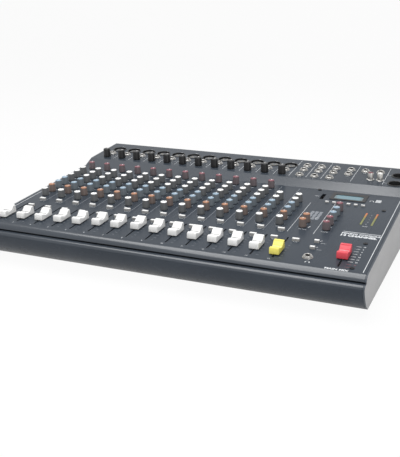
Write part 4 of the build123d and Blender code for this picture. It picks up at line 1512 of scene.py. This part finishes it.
class CONSOLE_OT_fader_caps(bpy.types.Operator):
    """Make the fader caps and the levers that they stand on"""

    bl_idname = "console.fader_caps"
    bl_label = "Fader caps"

    def execute(self, context):
        finishes = {"main_fader": "red_cap", sorted(FADERS)[-2]: "yellow_cap"}
        for node in FADERS:
            foot = [fader_seat(node)]
            finish = finishes.get(node, "white_cap")
            widening = 0.5 * MM if node == "main_fader" else 0.0
            stand(node + "_cap", fader_cap(widening), foot, controls, finish, node, [node])
            stand(node + "_lever", fader_lever(), foot, controls, "plain_steel", node)
            ink = "dark_ink" if finish == "white_cap" else "white_ink"
            stand(node + "_line", cap_line(), foot, controls, ink, node)
        return {"FINISHED"}


class CONSOLE_OT_buttons(bpy.types.Operator):
    """Make the rounded push-button caps"""

    bl_idname = "console.buttons"
    bl_label = "Push buttons"

    def execute(self, context):
        rows = {"channel_buttons": ROOT, "display_buttons": ROOT}
        rows.update({node: node for node in frame["bodies"] if "_button_" in node})
        for node, body in rows.items():
            middle, extent = solids(node)[0]
            feet = seats(node, controls, 0.0)
            crown = max((middle + extent / 2).dot(controls.normal) - controls.face, 0.0)
            height = min(crown, 3.4 * MM) if extent.x > 5.5 * MM else 2.2 * MM
            depth = 4.0 * MM if extent.x > 5.5 * MM else 3.2 * MM
            pattern = button_cap(extent.x, depth, height)
            stand(node + "_caps", pattern, feet, controls, "white_button", body, [node])
        return {"FINISHED"}


class CONSOLE_OT_sockets(bpy.types.Operator):
    """Make the plated and coloured pieces of the sockets"""

    bl_idname = "console.sockets"
    bl_label = "Sockets"

    def execute(self, context):
        rear = [foot for foot in seats("jack_nuts", sockets, 8 * MM) if foot.y > 0]
        front = [foot for foot in seats("jack_nuts", controls, 8 * MM) if foot.y < -0.05]
        stand("jack_ferrules", jack_ferrule(), rear, sockets, "chrome_ring")
        stand("ring_nuts", jack_nut(), rear, sockets, "chrome_ring",
              replaces=["jack_nuts"])
        stand("phones_ferrule", jack_ferrule(), front, controls, "chrome_ring")
        stand("phones_nut", jack_nut(), front, controls, "chrome_ring")
        mics = seats("mic_sockets", sockets, 18 * MM)
        outputs = seats("output_sockets", sockets, 18 * MM)
        stand("mic_contacts", contact_rims(), mics, sockets, "contact")
        stand("jack_liners", jack_liner(), rear, sockets, "black_plastic")
        stand("phones_liner", jack_liner(), front, controls, "black_plastic")
        stand("socket_rims", socket_rim(), mics + outputs, sockets, "black_plastic")
        phonos = seats("phono_sockets", sockets, 6 * MM)
        stand("phono_sleeves", phono_sleeve(), phonos, sockets, "chrome_ring",
              replaces=["phono_sockets"])
        stand("phono_flanges", phono_foot(), phonos, sockets, "chrome_ring")
        for foot, tone in zip(phonos, ("red", "white")):
            stand(f"phono_core_{tone}", phono_core(), [foot], sockets, tone + "_top")
        return {"FINISHED"}


class CONSOLE_OT_print(bpy.types.Operator):
    """Print the dividing lines, scales, numbers and plain names"""

    bl_idname = "console.print"
    bl_label = "Panel print"

    def execute(self, context):
        white, grey, warm = Ink(), Ink(), Ink()
        column_lines(white, grey)
        socket_lines(white)
        print_channel_labels(white)
        button_names(white)
        fader_scales(white, warm)
        master_print(white, grey)
        white.show("white_print", "white_ink")
        grey.show("grey_print", "grey_ink")
        warm.show("red_print", "red_ink")
        every = channel_knob_seats() + [knob_seat("gain_knob_01"), knob_seat("pan_knob_01")]
        every += [knob_seat(node) for node in (*MASTER_KNOBS, *EFFECTS_KNOBS)]
        stand("dial_ticks", dial_ticks(sizes().knob_radius), every, controls, "grey_ink")
        trims = shaft_seats("trim_knobs", sockets) + shaft_seats("trim_knob_01", sockets)
        stand("trim_ticks", dial_ticks(sizes().trim_radius), trims, sockets, "grey_ink")
        return {"FINISHED"}


class CONSOLE_OT_stage(bpy.types.Operator):
    """Set up the floor, the backdrop, the lamps and the camera"""

    bl_idname = "console.stage"
    bl_label = "Stage"

    def execute(self, context):
        studio = context.scene.console_studio
        context.scene.view_settings.view_transform = "Standard"
        camera(studio)
        floor_and_backdrop()
        room_light(studio.sky)
        soft_box("overhead", (-0.15, -0.1, 1.45), (0, 0, 0.05), 1.5, 1.3, studio.overhead)
        soft_box("side", (1.3, -1.4, 1.0), (0, 0, 0.05), 0.9, 0.9, studio.side)
        return {"FINISHED"}


class CONSOLE_PT_sidebar(bpy.types.Panel):
    """Lists the console's operators"""

    bl_label = "Mixing Console"
    bl_space_type = "VIEW_3D"
    bl_region_type = "UI"
    bl_category = "Console"

    def draw(self, context):
        for operator in OPERATORS:
            self.layout.operator(operator.bl_idname)


OPERATORS = (
    CONSOLE_OT_frame_finishes,
    CONSOLE_OT_knobs,
    CONSOLE_OT_fader_caps,
    CONSOLE_OT_buttons,
    CONSOLE_OT_sockets,
    CONSOLE_OT_print,
    CONSOLE_OT_stage,
)
GROUPS = {
    "console_sizes": ConsoleSizes,
    "console_colours": ConsoleColours,
    "console_studio": StudioSettings,
}


def register():
    for group in GROUPS.values():
        bpy.utils.register_class(group)
    for name, group in GROUPS.items():
        setattr(bpy.types.Scene, name, bpy.props.PointerProperty(type=group))
    for item in (*OPERATORS, CONSOLE_PT_sidebar):
        bpy.utils.register_class(item)


def unregister():
    for item in reversed((*OPERATORS, CONSOLE_PT_sidebar)):
        bpy.utils.unregister_class(item)
    for name, group in GROUPS.items():
        delattr(bpy.types.Scene, name)
        bpy.utils.unregister_class(group)


def main():
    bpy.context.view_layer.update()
    register()
    for operator in OPERATORS:
        group, name = operator.bl_idname.split(".")
        getattr(getattr(bpy.ops, group), name)()
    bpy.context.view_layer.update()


if __name__ == "__main__":
    main()
